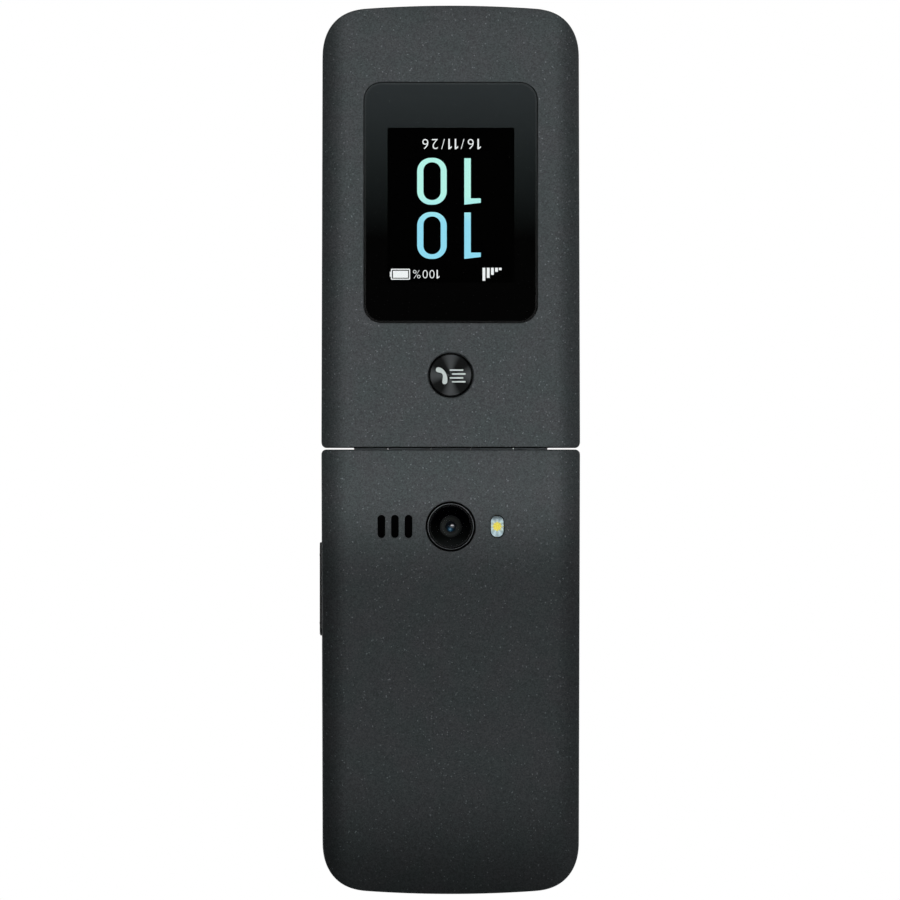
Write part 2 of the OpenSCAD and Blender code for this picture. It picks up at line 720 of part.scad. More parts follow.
// name, x, y, width, height, corner radius
side_keys = [
    ["soft_left", -side_keys_x, soft_y, side_key_w, soft_h, key_r],
    ["soft_right", side_keys_x, soft_y, side_key_w, soft_h, key_r],
    ["call_key", -side_keys_x, call_y, side_key_w, call_h, key_r],
    ["end_key", side_keys_x, call_y, side_key_w, call_h, key_r],
    ["clear_key", 0, clear_y, clear_w, clear_h, key_r]];

module key_hole(x, y, w, h, r)
    pad_at(x, y, w + 2 * key_play, h + 2 * key_play, r + key_play, deck_z - past, base_t + past);

module key(x, y, w, h, r) {
    pad_at(x, y, w, h, r, flange_z, base_t + key_proud);
    pad_at(x, y, w + 2 * flange_out, h + 2 * flange_out, r + flange_out, flange_z, flange_z + flange_t);
}

module key_mat_cut(grow) pad_at(0, nav_y, nav_w + 2 * grow, nav_h + 2 * grow, nav_r + grow, 0, base_t);

module keypad_mat() color("#4a4d50") difference() {
    mat_w = 2 * side_keys_x + side_key_w;
    mat_y0 = base_end_y + keys_from_end;
    mat_y1 = soft_y + soft_h / 2;
    translate([0, (mat_y0 + mat_y1) / 2, 0]) raised(mat_z, mat_z + mat_t)
        polygon(pad(mat_w, mat_y1 - mat_y0, 2));
    key_mat_cut(flange_out + nav_room);
    for (p = base_screw_xy) round_at(p, boss_r + fit, 0, base_t);
    volume_bay(volume_bay_x);
}

nav_dome = 7.2;                                   // middle of the ring to its four domes
dome_spots = concat([for (k = number_keys) [k[1], k[2]]], [for (k = side_keys) [k[1], k[2]]],
    [[0, nav_y]], [for (a = [0:90:270]) [nav_dome * cos(a), nav_y + nav_dome * sin(a)]]);

module key_domes() color(steel) for (p = dome_spots) round_at(p, dome_r, board_top, board_top + dome_t);

nav_drop = 0.35;
nav_flange_t = 0.35;
nav_flange_z = deck_z - nav_drop - nav_flange_t;
nav_proud = 0.1;
nav_hole_r = nav_ok_d / 2 + 0.5;
support_r = 8;
support_t = 0.3;
support_z = nav_flange_z - 0.2 - support_t;
support_hole_r = 3.6;

module nav_support() color("#5a5d60") difference() {
    round_at([0, nav_y], support_r, support_z, support_z + support_t);
    round_at([0, nav_y], support_hole_r, support_z - past, support_z + past);
}

module nav_ring() color("#8e9294") difference() {
    union() {
        pad_at(0, nav_y, nav_w, nav_h, nav_r, nav_flange_z, base_t + nav_proud);
        pad_at(0, nav_y, nav_w + 2 * flange_out, nav_h + 2 * flange_out, nav_r + flange_out,
            nav_flange_z, nav_flange_z + nav_flange_t);
    }
    round_at([0, nav_y], nav_hole_r, 0, base_t + past);
}

module nav_ok() color(graphite) {
    round_at([0, nav_y], nav_ok_d / 2, nav_flange_z + 0.15, base_t + key_proud);
    round_at([0, nav_y], support_hole_r - 0.6, support_z, nav_flange_z + 0.15);
}

// ---------------------------------------------------------------- lid

module lid_shell() color(dark_paint) difference() {
    union() {
        difference() {
            intersection() {
                lid_half();
                slab(0, rear_seam_z);
            }
            intersection() {
                lid_half(wall);
                slab(wall, seam_z + past);
            }
        }
        for (p = lid_screw_xy) intersection() {
            round_at(p, boss_r, wall / 2, rear_seam_z - 0.1);
            lid_half(wall / 2);
        }
    }
    pad_at(0, window_y, window_w + 2 * glass_room, window_h + 2 * glass_room, window_r + glass_room,
        -past, flush + window_t + flush / 2);
    pad_at(0, outer_view_y, outer_frame_w + 2 * fit, outer_frame_h + 2 * fit, 1, -past, wall + past);
    round_at([0, lid_button_y], lid_button_d / 2 + lid_button_gap, -past, wall + past);
    for (p = lid_screw_xy) round_at(p, screw_d / 2 + flush, wall, seam_z + past);
    knuckle_cut(base_knuckles);
}

outer_border = 2.4;
outer_frame_w = outer_view_w + 2 * outer_border;
outer_frame_h = outer_view_h + 2 * outer_border;
main_border = 1.6;
main_frame_w = main_view_w + 2 * main_border;
main_frame_h = main_view_h + 2 * main_border;
view_room = 0.5;                                  // opening in the ledge past the picture
ear_slot_l = 1.4;
bumper_wall = 0.8;

module lid_bezel() color(graphite) difference() {
    union() {
        difference() {
            intersection() {
                lid_half();
                slab(seam_z, lid_t);
            }
            intersection() {
                lid_half(wall);
                beyond_block(1);
                slab(-past, ledge_z);
            }
            knuckle_cut(base_knuckles);
        }
        for (p = lid_screw_xy) {
            round_at(p, boss_r, rear_seam_z, bumper_seat_z);
            round_at(p, bumper_r + bumper_wall, bumper_seat_z - bumper_wall, ledge_z + ledge_t / 2);
        }
        knuckles(lid_knuckles);
    }
    barrel_bore();
    lid_flex_path(fit);
    pad_at(0, main_y, main_window_w + 2 * glass_room, main_window_h + 2 * glass_room, 3,
        main_window_z - flush, lid_t + past);
    pad_at(0, main_y, main_view_w + 2 * view_room, main_view_h + 2 * view_room, 1, ledge_z - past, lid_t);
    pad_at(0, ear_y, ear_slot_w, ear_slot_l, ear_slot_l / 2 - shy, ledge_z - past, lid_t + past);
    for (p = lid_screw_xy) {
        round_at(p, screw_d / 2 + fit, 0, lid_t + past);
        round_at(p, bumper_r + flush, bumper_seat_z, lid_t + past);
    }
}

module outer_window() color(black, 0.8)
    pad_at(0, window_y, window_w, window_h, window_r, flush, flush + window_t);

module outer_display() color("#202427")
    pad_at(0, outer_view_y, outer_frame_w, outer_frame_h, 0.8, outer_display_z,
        outer_display_z + outer_display_t);

module main_window() color(black, 0.8)
    pad_at(0, main_y, main_window_w, main_window_h, 2.9, main_window_z, main_window_z + main_window_t);

module main_display() color("#202427")
    pad_at(0, main_y, main_frame_w, main_frame_h, 0.8, main_display_z, main_display_z + main_display_t);

module lid_board() color(board_green) difference() {
    y0 = flex_y;
    y1 = lid_end_y - 2 * wall;
    translate([0, (y0 + y1) / 2, 0]) raised(lid_board_z, lid_board_z + lid_board_t)
        polygon(pad(main_frame_w - 4, y1 - y0, 6));
    for (p = lid_screw_xy) round_at(p, boss_r + fit, 0, lid_t);
}

lid_button_in = 0.12;                             // behind the outer face
lid_button_back = wall + 0.75;
lid_button_flange = 0.9;
lid_switch = 4.4;

module lid_button() color("#1b1c1d") {
    round_at([0, lid_button_y], lid_button_d / 2, lid_button_in, lid_button_back);
    round_at([0, lid_button_y], lid_button_d / 2 + lid_button_flange, wall + 0.15, lid_button_back - 0.1);
}

module lid_button_switch() color(steel)
    block(-lid_switch / 2, lid_switch / 2, lid_button_y - lid_switch / 2, lid_button_y + lid_switch / 2,
        lid_button_back + lid_button_travel + flush, lid_board_z);

ear_w = 12;
ear_l = 6;

mesh_t = 0.12;
mesh_lap = 0.8;                                   // mesh past its slots, all round

module earpiece() color(black)
    pad_at(0, ear_y, ear_w, ear_l, 1, lid_board_z + lid_board_t, ledge_z - mesh_t - 0.03);

module earpiece_mesh() color("#303234")
    pad_at(0, ear_y, ear_slot_w + 2 * mesh_lap, ear_slot_l + 2 * mesh_lap, 0.8, ledge_z - mesh_t, ledge_z);

magnet_l = 5;
magnet_w = 2;
magnet_t = 1.6;
magnet_in = 7.7;              // from the side
magnet_y = main_y + main_frame_h / 2 + 3 * fit;

module lid_magnet() color(steel) translate([magnet_in - body_w / 2, magnet_y, lid_board_z + lid_board_t])
    cube([magnet_l, magnet_w, magnet_t]);

module lid_bumpers() color(black) for (p = lid_screw_xy)
    round_at(p, bumper_r, lid_t - bumper_t, lid_t + bumper_proud);

module lid_screws() color(steel) for (p = lid_screw_xy) {
    round_at(p, head_r, lid_t - bumper_t - head_t, lid_t - bumper_t - flush);
    round_at(p, screw_d / 2, wall + 0.1, lid_t - bumper_t - head_t);
}

// ---------------------------------------------------------------- assembly

module number_key(name) for (k = number_keys) if (k[0] == name)
    color(graphite) key(k[1], k[2], key_w, key_h, key_r);

module side_key(name) for (k = side_keys) if (k[0] == name)
    color(graphite) key(k[1], k[2], k[3], k[4], k[5]);

rear_cover();
mid_frame();
keypad_housing();
battery();
main_board();
board_parts();
key_domes();
keypad_mat();
loudspeaker();
speaker_mesh();
camera_trim();
camera_glass();
camera_module();
flash_lens();
flash_led();
usb_port();
headset_jack();
volume_key();
volume_switches();
vibration_motor();
base_screws();
hinge_cartridge();
hinge_cam();
hinge_bush();
base_flex();
lid_flex();
lid_shell();
lid_bezel();
outer_window();
outer_display();
main_window();
main_display();
lid_board();
lid_button();
lid_button_switch();
earpiece();
earpiece_mesh();
lid_magnet();
lid_bumpers();
lid_screws();
nav_support();
nav_ring();
nav_ok();
side_key("soft_left");  // soft_left
side_key("soft_right");  // soft_right
side_key("call_key");  // call_key
side_key("end_key");  // end_key
side_key("clear_key");  // clear_key
number_key("key_1");  // key_1
number_key("key_2");  // key_2
number_key("key_3");  // key_3
number_key("key_4");  // key_4
number_key("key_5");  // key_5
number_key("key_6");  // key_6
number_key("key_7");  // key_7
number_key("key_8");  // key_8
number_key("key_9");  // key_9
number_key("key_star");  // key_star
number_key("key_0");  // key_0
number_key("key_hash");  // key_hash
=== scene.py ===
"""A flip phone that opens flat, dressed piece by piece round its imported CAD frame.

Lengths are written in millimetres and turned to metres when a piece is made. The phone lies open on
its outer faces at z = 0, lid towards +Y, keys and main screen towards +Z, hinge axis along X."""

import bmesh
import bpy
import numpy as np
from mathutils import Matrix
from mathutils.geometry import tessellate_polygon


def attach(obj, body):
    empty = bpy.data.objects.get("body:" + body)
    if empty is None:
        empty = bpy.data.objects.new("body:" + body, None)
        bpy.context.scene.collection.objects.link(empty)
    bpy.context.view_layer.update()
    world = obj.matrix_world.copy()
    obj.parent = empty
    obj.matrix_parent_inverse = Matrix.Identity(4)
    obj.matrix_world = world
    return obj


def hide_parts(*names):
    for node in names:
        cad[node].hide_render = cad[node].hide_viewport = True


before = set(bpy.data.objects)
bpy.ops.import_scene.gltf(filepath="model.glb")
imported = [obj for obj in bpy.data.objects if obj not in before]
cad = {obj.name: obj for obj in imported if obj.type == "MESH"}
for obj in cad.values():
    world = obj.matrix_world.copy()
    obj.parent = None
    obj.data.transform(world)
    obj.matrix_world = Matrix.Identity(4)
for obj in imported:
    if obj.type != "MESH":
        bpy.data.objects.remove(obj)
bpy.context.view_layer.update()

# ---------------------------------------------------------------- studio
# The phone hangs in front of the camera, which looks straight at its outer faces from below. A pale
# table shows from above only. A long soft lamp lights the lid's outer face, a weaker one the base's,
# and a large one hangs over the keys. Lengths are in metres in this section.

scene = bpy.context.scene
scene.view_settings.view_transform = "Standard"


def linear(code):
    """An sRGB hex colour as linear red, green and blue, with full alpha."""
    c = np.array([int(code[i:i + 2], 16) for i in (1, 3, 5)]) / 255
    return (*np.where(c <= 0.04045, c / 12.92, ((c + 0.055) / 1.055) ** 2.4).tolist(), 1.0)


def feed(node, *inputs, **named):
    """Fills a shader node's inputs, in order or by name with _ for a space: outputs are linked, numbers
    and colours are set. A node stands for the first of its outputs that is in use."""
    for key, value in [*enumerate(inputs), *named.items()]:
        socket = node.inputs[key.replace("_", " ") if isinstance(key, str) else key]
        if isinstance(value, bpy.types.Node):
            value = next(out for out in value.outputs if out.enabled)
        if isinstance(value, bpy.types.NodeSocket):
            node.id_data.links.new(value, socket)
        else:
            socket.default_value = value


def add(tree, kind, *inputs, stops=(), **named):
    """Adds a shader node with its links and settings. A name with a capital is an input, one in small
    letters a setting. stops are a colour ramp's places and colours."""
    made = tree.nodes.new("ShaderNode" + kind)
    for key in [key for key in named if key[0].islower()]:
        setattr(made, key, named.pop(key))
    feed(made, *inputs, **named)
    if stops:
        marks = made.color_ramp.elements
        for place, _ in stops[1:-1]:
            marks.new(place)
        for mark, (place, code) in zip(marks, stops):
            mark.position, mark.color = place, linear(code)
    return made


eye = bpy.data.cameras.new("camera")
eye.sensor_width, eye.lens = 36, 180.75
eye.clip_start, eye.clip_end = 0.01, 20
camera = bpy.data.objects.new("camera", eye)
camera.location = (0.000155, -0.000376, -1.0)
camera.rotation_euler = (0, np.pi, 0)
scene.collection.objects.link(camera)
scene.camera = camera

TABLE_SIDE, TABLE_DROP = 4, 0.0005
table_mesh = bpy.data.meshes.new("table")
table_corners = np.array([(-1, -1), (1, -1), (1, 1), (-1, 1)]) * TABLE_SIDE / 2
table_mesh.from_pydata(np.c_[table_corners, np.full(4, -TABLE_DROP)], [], [(0, 1, 2, 3)])
table = bpy.data.objects.new("table", table_mesh)
scene.collection.objects.link(table)
table.visible_diffuse = table.visible_glossy = table.visible_transmission = False
table.visible_shadow = False

# Pale laminate, seen from above; from below the camera looks through it
laminate = bpy.data.materials.new("pale_laminate")
laminate.use_nodes = True
tree = laminate.node_tree
tree.nodes.clear()
fleck = add(tree, "TexNoise", add(tree, "TexCoord").outputs["Object"], Scale=60.0, Detail=4.0)
tone = add(tree, "ValToRGB", fleck, stops=[(0, "#e6e6e4"), (1, "#efefed")])
seen = add(tree, "MixShader", add(tree, "NewGeometry").outputs["Backfacing"],
    add(tree, "BsdfDiffuse", Color=tone), add(tree, "BsdfTransparent"))
add(tree, "OutputMaterial", seen)
table_mesh.materials.append(laminate)

# The room: white behind the phone. Polished faces see a light tent with two bright caps, above and
# below, and the dark opening that the camera looks through.
room = bpy.data.worlds.new("room")
scene.world = room
room.use_nodes = True
room.cycles.sampling_method = "NONE"
tree = room.node_tree
tree.nodes.clear()
way = add(tree, "TexCoord").outputs["Generated"]
height = add(tree, "SeparateXYZ", way).outputs["Z"]
above = add(tree, "MapRange", height, From_Min=-0.1, From_Max=0.1)
off_axis = add(tree, "VectorMath", way, (1, 1, 0), operation="MULTIPLY")
off_axis = add(tree, "VectorMath", off_axis, (0, 0.01, 0), operation="DISTANCE")
opening = add(tree, "MapRange", off_axis, From_Min=0.085, From_Max=0.13,
    interpolation_type="SMOOTHSTEP")
opening = add(tree, "Math", opening, above, operation="MAXIMUM")
steep = add(tree, "Math", height, operation="ABSOLUTE")
cap = add(tree, "MapRange", steep, From_Min=0.45, From_Max=0.92, To_Min=0.2,
    interpolation_type="SMOOTHSTEP")
dim = add(tree, "MapRange", above, To_Min=0.14, To_Max=0.9)
tent = add(tree, "Math", cap, opening, operation="MULTIPLY")
tent = add(tree, "Math", tent, dim, operation="MULTIPLY")
path = add(tree, "LightPath").outputs
glow = add(tree, "MapRange", above, To_Min=0.1, To_Max=0.45)
fill = add(tree, "Math", path["Is Diffuse Ray"], glow, operation="MULTIPLY")
bent = add(tree, "Math", path["Is Glossy Ray"], path["Is Transmission Ray"], operation="MAXIMUM")
shine = add(tree, "Math", bent, tent, operation="MULTIPLY")
level = add(tree, "Math", fill, shine, operation="ADD")
level = add(tree, "Math", level, path["Is Camera Ray"], operation="MAXIMUM")
add(tree, "OutputWorld", add(tree, "Background", Color=(1, 1, 1, 1), Strength=level))


def soft_lamp(name, place, size, power, turn=(0, 0, 0), spread=180):
    """A rectangular area lamp, in metres and watts. Unturned, it shines down. A small spread, in
    degrees, is a lamp behind a grid."""
    light = bpy.data.lights.new(name, "AREA")
    light.shape = "RECTANGLE"
    light.size, light.size_y = size
    light.energy = power
    light.spread = np.radians(spread)
    lamp = bpy.data.objects.new(name, light)
    lamp.location = place
    lamp.rotation_euler = turn
    lamp.visible_camera = False
    scene.collection.objects.link(lamp)
    return lamp


under_lamps = [soft_lamp("lid_lamp", (0, 0.043, -0.070), (0.14, 0.122), 0.0318, (0, np.pi, 0), 24),
    soft_lamp("base_lamp", (0, -0.049, -0.070), (0.076, 0.074), 0.0047, (0, np.pi, 0), 36),
    soft_lamp("low_lamp", (-0.45, -0.45, -0.35), (0.4, 0.4), 0.72, (2.073, 0, -0.785))]
upper_lamps = [soft_lamp("key_lamp", (0.4, -0.4, 0.65), (0.5, 0.5), 5.0, (0.717, 0, 0.785)),
    soft_lamp("side_lamp", (-0.7, 0.5, 0.35), (0.4, 0.4), 2.0, (0, -1.1, -0.6))]

# ---------------------------------------------------------------- rear cover
# The base's outer skin: injection-moulded polycarbonate, sprayed with dark grey paint full of fine
# metal flake. It clips onto the frame, and has holes for the loudspeaker, the camera and the flash.

BODY_W, TAPER, EDGE_Y = 57.4, 0.5, 0.27
BASE_LEN = 98.4
CORNER_RUN, CORNER_POWER, BOW_R, HINGE_CORNER = 10.2, 2.45, 266.0, 1.1
SIDE_RUN, SIDE_R, WALL = 6.0, 8.0, 1.2
REAR_SEAM, SEAM_EASE = 4.4, 0.07
CREASE = 0.5    # the flat middle ends this far short of the sides' curve
OUTER_FLAT = BODY_W / 2 - SIDE_RUN - CREASE
RIB, CORNER, SIDE, FAR, TURN, END = 14, 6, 12, 20, 8, 10    # faces along each stretch of the outline
LAST_RIB = RIB + CORNER + SIDE + FAR
MARGIN = 0.2    # a flat step round every rounded rim
EDGE_STEP = 0.25    # the skin of a face starts this far inside its rounded edge


def half_ring(length, inset, flat, hinge=None):
    """Right half of a casing's outline, set in by inset: the hinge edge from x = flat, a quarter
    circle, the side, a superellipse corner (cosine and sine to the power 2/2.45), and a bowed end
    (x squared over twice its radius). Every ring has the same count of points."""
    hinge = inset if hinge is None else hinge
    r = max(HINGE_CORNER - inset, 0.3)
    x1 = BODY_W / 2 - inset - r
    a = np.radians(np.linspace(-90, 0, CORNER + 1))
    corner = np.c_[x1 + r * np.cos(a), hinge + r + r * np.sin(a)]
    core = (BODY_W - TAPER) / 2 - CORNER_RUN
    run, p = CORNER_RUN - inset, 2 / CORNER_POWER
    turn = np.arccos(((flat - core) / run) ** (1 / p))
    a = np.r_[np.linspace(0, turn, FAR + 1), np.linspace(turn, np.pi / 2, TURN + 1)[1:]]
    x = core + run * np.cos(a).clip(0) ** p
    far = np.c_[x, length - inset - x * x / (2 * BOW_R) - run + run * np.sin(a) ** p]
    x = core * (1 - np.arange(1, END + 1) / END)
    end = np.c_[x, length - inset - x * x / (2 * BOW_R)]
    ring = np.vstack([np.c_[np.linspace(flat, x1, RIB + 1), np.full(RIB + 1, hinge)], corner[1:],
        np.linspace(corner[-1], far[0], SIDE + 1)[1:-1], far, end])
    return ring + [0, EDGE_Y]


def both_halves(half):
    """A right half and its mirror image as one closed ring."""
    return np.vstack([half, (half * [-1, 1])[-2::-1]])


def at_height(ring, z):
    """A flat ring with its heights."""
    return np.c_[ring, np.broadcast_to(z, len(ring))]


def grid(points):
    """Points and faces of a sheet worked out on a grid of rows and columns."""
    m, n = points.shape[:2]
    k = np.arange(m * n).reshape(m, n)
    faces = np.stack([k[:-1, :-1], k[1:, :-1], k[1:, 1:], k[:-1, 1:]], -1).reshape(-1, 4)
    return points.reshape(-1, 3), faces


def band(rings):
    """A sheet carried from ring to ring, closed round each ring."""
    rings = np.array(rings)
    return grid(np.concatenate([rings, rings[:, :1]], 1))


def fill_in(loops, z):
    """A flat face inside the first loop and outside the others."""
    loops = [at_height(loop, z) for loop in loops]
    return np.vstack(loops), np.array(tessellate_polygon([loop.tolist() for loop in loops]))


def skin(half, flat, height, holes=()):
    """The face inside a casing's outline: straight ribs from x = flat to the side, at the height
    that the cross-section gives, and one flat middle with its holes."""
    rows = half[RIB:LAST_RIB + 1]
    x = flat + np.linspace(0, 1, RIB + 1) * (rows[:, :1] - flat)
    ribs = np.dstack([x, np.broadcast_to(rows[:, 1:], x.shape), height(x)])
    middle = both_halves(np.vstack([ribs[:, 0, :2], half[LAST_RIB + 1:]]))
    return [grid(ribs), grid(ribs * [-1, 1, 1]), fill_in([middle, *holes], float(height(flat)))]


def outer_face(x, inset=0.0):
    """Outer face: flat, then a circle of radius 8 over the last 6 mm of each side, set in."""
    return SIDE_R - np.sqrt((SIDE_R - inset) ** 2 - np.maximum(np.abs(x) - OUTER_FLAT - CREASE, 0) ** 2)


def inside_face(x):
    """The outer face's cross-section, set in by the wall."""
    return outer_face(x, WALL)


def wall_ring(length, inset, flat, z, hinge=None):
    """A casing's outline, set in, at one height or at the height that a cross-section gives."""
    ring = both_halves(half_ring(length, inset, flat, hinge))
    return at_height(ring, z(ring[:, 0]) if callable(z) else z)


def rounded_edge(length, flat, face, into, r, steps=5):
    """Rings over the edge between a face and the wall round it: a quadratic curve, drawn to the
    corner from r inside on the face and from r along the wall. into is +1 where the wall goes up."""
    start, corner = wall_ring(length, r, flat, face), wall_ring(length, 0, flat, face)
    down = corner + [0, 0, into * r]
    t = np.linspace(0, 1, steps)[:, None, None]
    curve = (1 - t) ** 2 * start + 2 * t * (1 - t) * corner + t ** 2 * down
    return [wall_ring(length, r + EDGE_STEP, flat, face), *curve, down + [0, 0, into * MARGIN]]


def outer_shell(length, edge_r, outside_holes, inside_holes):
    """The sheets of an outer skin: its rounded edge, the wall up to the seam and down again inside,
    and its two faces with their holes."""
    wall = band([*rounded_edge(length, OUTER_FLAT, outer_face, 1, edge_r),
        wall_ring(length, 0, OUTER_FLAT, REAR_SEAM - SEAM_EASE),
        wall_ring(length, SEAM_EASE, OUTER_FLAT, REAR_SEAM),
        wall_ring(length, WALL, OUTER_FLAT, REAR_SEAM),
        wall_ring(length, WALL, OUTER_FLAT, inside_face)])
    return [wall,
        skin(half_ring(length, edge_r + EDGE_STEP, OUTER_FLAT), OUTER_FLAT, outer_face, outside_holes),
        skin(half_ring(length, WALL, OUTER_FLAT), OUTER_FLAT, inside_face, inside_holes)]


def pad(w, h, r, x=0.0, y=0.0, grow=0.0, n=6):
    """A rounded rectangle about (x, y), grown on all sides: four quarter circles, joined. Where r is
    half of both sides, it is a circle."""
    w, h = w + 2 * grow, h + 2 * grow
    r = min(max(r + grow, 0.05), w / 2 - 0.003, h / 2 - 0.003)
    a = np.radians(np.add.outer([0, 90, 180, 270], np.linspace(0, 90, n + 1)))
    cx = (w / 2 - r) * np.array([[1], [-1], [-1], [1]])
    cy = (h / 2 - r) * np.array([[1], [1], [-1], [-1]])
    return np.c_[(x + cx + r * np.cos(a)).ravel(), (y + cy + r * np.sin(a)).ravel()]


def outline(w, h, r, x=0.0, y=0.0, n=6):
    """The same rounded rectangle as a loop that is drawn for any growth: loop(growth)."""
    return lambda grow=0.0: pad(w, h, r, x, y, grow, n)


def eased(r, z, into, n=3):
    """Steps (growth, height) over the rounded rim of a hole: a quarter circle of radius r."""
    a = np.radians(np.linspace(0, 90, n + 1))
    return [(r + MARGIN, z), *zip(r * (1 - np.sin(a)), z + into * r * (1 - np.cos(a)))]


def steps_of(loop, steps):
    """A band down a hole or up a pad: loop(growth) at each height."""
    return band([at_height(loop(grow), z) for grow, z in steps])


def shape(sheets, side=1):
    """One mesh from sheets that meet, in millimetres: shared points merged, faces turned outwards.
    side is -1 for a piece worked out in the lid's place that belongs to the base."""
    sheets = [s for group in sheets for s in (group if isinstance(group, list) else [group])]
    start = np.cumsum([0] + [len(points) for points, _ in sheets])
    mesh = bpy.data.meshes.new("shape")
    mesh.from_pydata(np.vstack([points for points, _ in sheets]) * [1, side, 1], [],
        [[i + s for i in face] for s, (_, faces) in zip(start.tolist(), sheets)
            for face in (faces if isinstance(faces, list) else faces.tolist())])
    solid = bmesh.new()
    solid.from_mesh(mesh)
    bmesh.ops.remove_doubles(solid, verts=solid.verts, dist=0.0004)
    bmesh.ops.recalc_face_normals(solid, faces=solid.faces)
    if solid.calc_volume(signed=True) < 0:
        bmesh.ops.reverse_faces(solid, faces=solid.faces)
    solid.to_mesh(mesh)
    solid.free()
    return mesh


def piece(name, mesh, material, body, replaces=(), sharp=38):
    """A finished piece from a mesh in millimetres: smooth but for edges over the sharp angle."""
    mesh.name = name
    mesh.transform(Matrix.Scale(0.001, 4))
    mesh.materials.clear()
    mesh.materials.append(material)
    mesh.shade_smooth()
    mesh.set_sharp_from_angle(angle=np.radians(sharp))
    made = bpy.data.objects.new(name, mesh)
    scene.collection.objects.link(made)
    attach(made, body)
    if replaces:
        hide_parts(*replaces)
    return made


def finish(name, colour, rough, metallic=0.0, **sockets):
    """A material with its node tree, its Principled shader, and the place on the piece in
    millimetres."""
    made = bpy.data.materials.new(name)
    made.use_nodes = True
    tree = made.node_tree
    tree.nodes.clear()
    shader = add(tree, "BsdfPrincipled", Base_Color=linear(colour), Roughness=rough, Metallic=metallic,
        **sockets)
    add(tree, "OutputMaterial", shader)
    place = add(tree, "VectorMath", add(tree, "TexCoord").outputs["Object"], (1000, 1000, 1000),
        operation="MULTIPLY")
    return made, tree, shader, place


# Sprayed metallic lacquer over plastic: flakes a few hundredths of a millimetre across, each a little
# lighter or darker. They are drawn 0.25 mm across, so that they show, and the rare bright ones are
# painted glints.
paint, tree, shader, place = finish("sprayed_flake_paint", "#464a4c", 0.66, 0.7, Specular_IOR_Level=0.3)
flake = add(tree, "TexVoronoi", place, Scale=4.2)
flake = add(tree, "SeparateColor", flake.outputs["Color"]).outputs
spread = add(tree, "MapRange", flake["Red"], To_Min=0.74, To_Max=1.22)
# Painted glints: a few flakes made much lighter in colour, as if they caught the light
painted_flake_glint = add(tree, "MapRange", flake["Green"], From_Min=0.98, To_Max=1.7)
spread = add(tree, "Math", spread, painted_flake_glint, operation="ADD")
cloud = add(tree, "TexNoise", place, Scale=0.12, Detail=3.0)
cloud = add(tree, "ValToRGB", cloud, stops=[(0.38, "#494c4e"), (0.62, "#464c4d")])
tint = add(tree, "VectorMath", cloud, Scale=spread, operation="SCALE")
grain = add(tree, "TexNoise", place, Scale=3.0, Detail=2.0)
bump = add(tree, "Bump", Height=grain, Strength=0.12, Distance=0.00004)
feed(shader, Base_Color=tint, Normal=bump)

# Slots, camera and flash lie on one line. The cover is worked out in the lid's place and turned over.
EYES_Y, FLASH_X = 17.3, -10.3
HOLE_EASE = 0.07
rear_holes = [outline(1.65, 5.1, 0.82, x, EYES_Y) for x in (9.35, 12.35, 15.35)]
rear_holes.append(outline(11.1, 11.1, 5.55, 0, EYES_Y, 18))
rear_holes.append(outline(3.2, 5.2, 1.6, FLASH_X, EYES_Y))
sheets = outer_shell(BASE_LEN, 0.35, [hole(HOLE_EASE + MARGIN) for hole in rear_holes],
    [hole() for hole in rear_holes])
sheets += [steps_of(hole, [*eased(HOLE_EASE, 0, 1), (0, WALL)]) for hole in rear_holes]
piece("rear_cover_skin", shape(sheets, -1), paint, "base", ["rear_cover"])

# ---------------------------------------------------------------- camera
# An 8-element lens module behind a flat glass, in a turned black ring that is pressed into the
# rear cover. The ring has a thin bright chamfer, and a black cone runs down to the lens.

CAMERA_Y = -EYES_Y


def turned(profile, x=0.0, y=0.0, n=72, along=None):
    """A lathed sheet: (radius, height) turned about a vertical line through (x, y), or, where along
    is the height of a line parallel to X, (radius, x) turned about that line."""
    profile = np.array(profile, float)
    a = np.linspace(0, 2 * np.pi, n, endpoint=False)
    r, h = profile[:, :1], profile[:, 1:]
    c, s = r * np.cos(a), r * np.sin(a)
    h = np.broadcast_to(h, c.shape)
    return band(np.dstack([c + x, s + y, h] if along is None else [h, c + y, s + along]))


def round_camera(*profiles):
    """A piece turned about the camera's axis, from profiles that meet."""
    return shape([turned(profile, y=CAMERA_Y) for profile in profiles])


def worn(name, colour, rough, scale, metallic=0.0, detail=2.0, **sockets):
    """A finish whose roughness wanders between two values, over a size of about 1/scale
    millimetres."""
    made, tree, shader, place = finish(name, colour, rough[0], metallic, **sockets)
    noise = add(tree, "TexNoise", place, Scale=scale, Detail=detail)
    feed(shader, Roughness=add(tree, "MapRange", noise, To_Min=rough[0], To_Max=rough[1]))
    return made, tree, shader, place


# Aluminium, turned and anodised black: deep, with a faint sheen. Its chamfer is cut after anodising.
anodised, *_ = worn("black_anodised_ring", "#020202", (0.42, 0.58), 6.0, detail=3.0,
    Specular_IOR_Level=0.02)
bright_edge, *_ = worn("bright_turned_edge", "#4a4d4f", (0.38, 0.5), 9.0, 0.9)
piece("camera_ring", round_camera([(5.5, 1.4), (5.5, 0.22), (5.44, 0.1), (5.3, 0.05), (5.12, 0.05),
    (5.07, 0.06)], [(5.07, 0.06), (5.07, 0.3), (4.8, 0.9), (4.1, 0.92), (4.1, 1.4), (5.5, 1.4)]),
    anodised, "base", ["camera_trim"])
piece("camera_ring_edge", round_camera([(5.07, 0.06), (5.04, 0.05), (4.99, 0.06), (4.97, 0.12),
    (4.99, 0.2), (5.07, 0.3), (5.07, 0.06)]), bright_edge, "base")

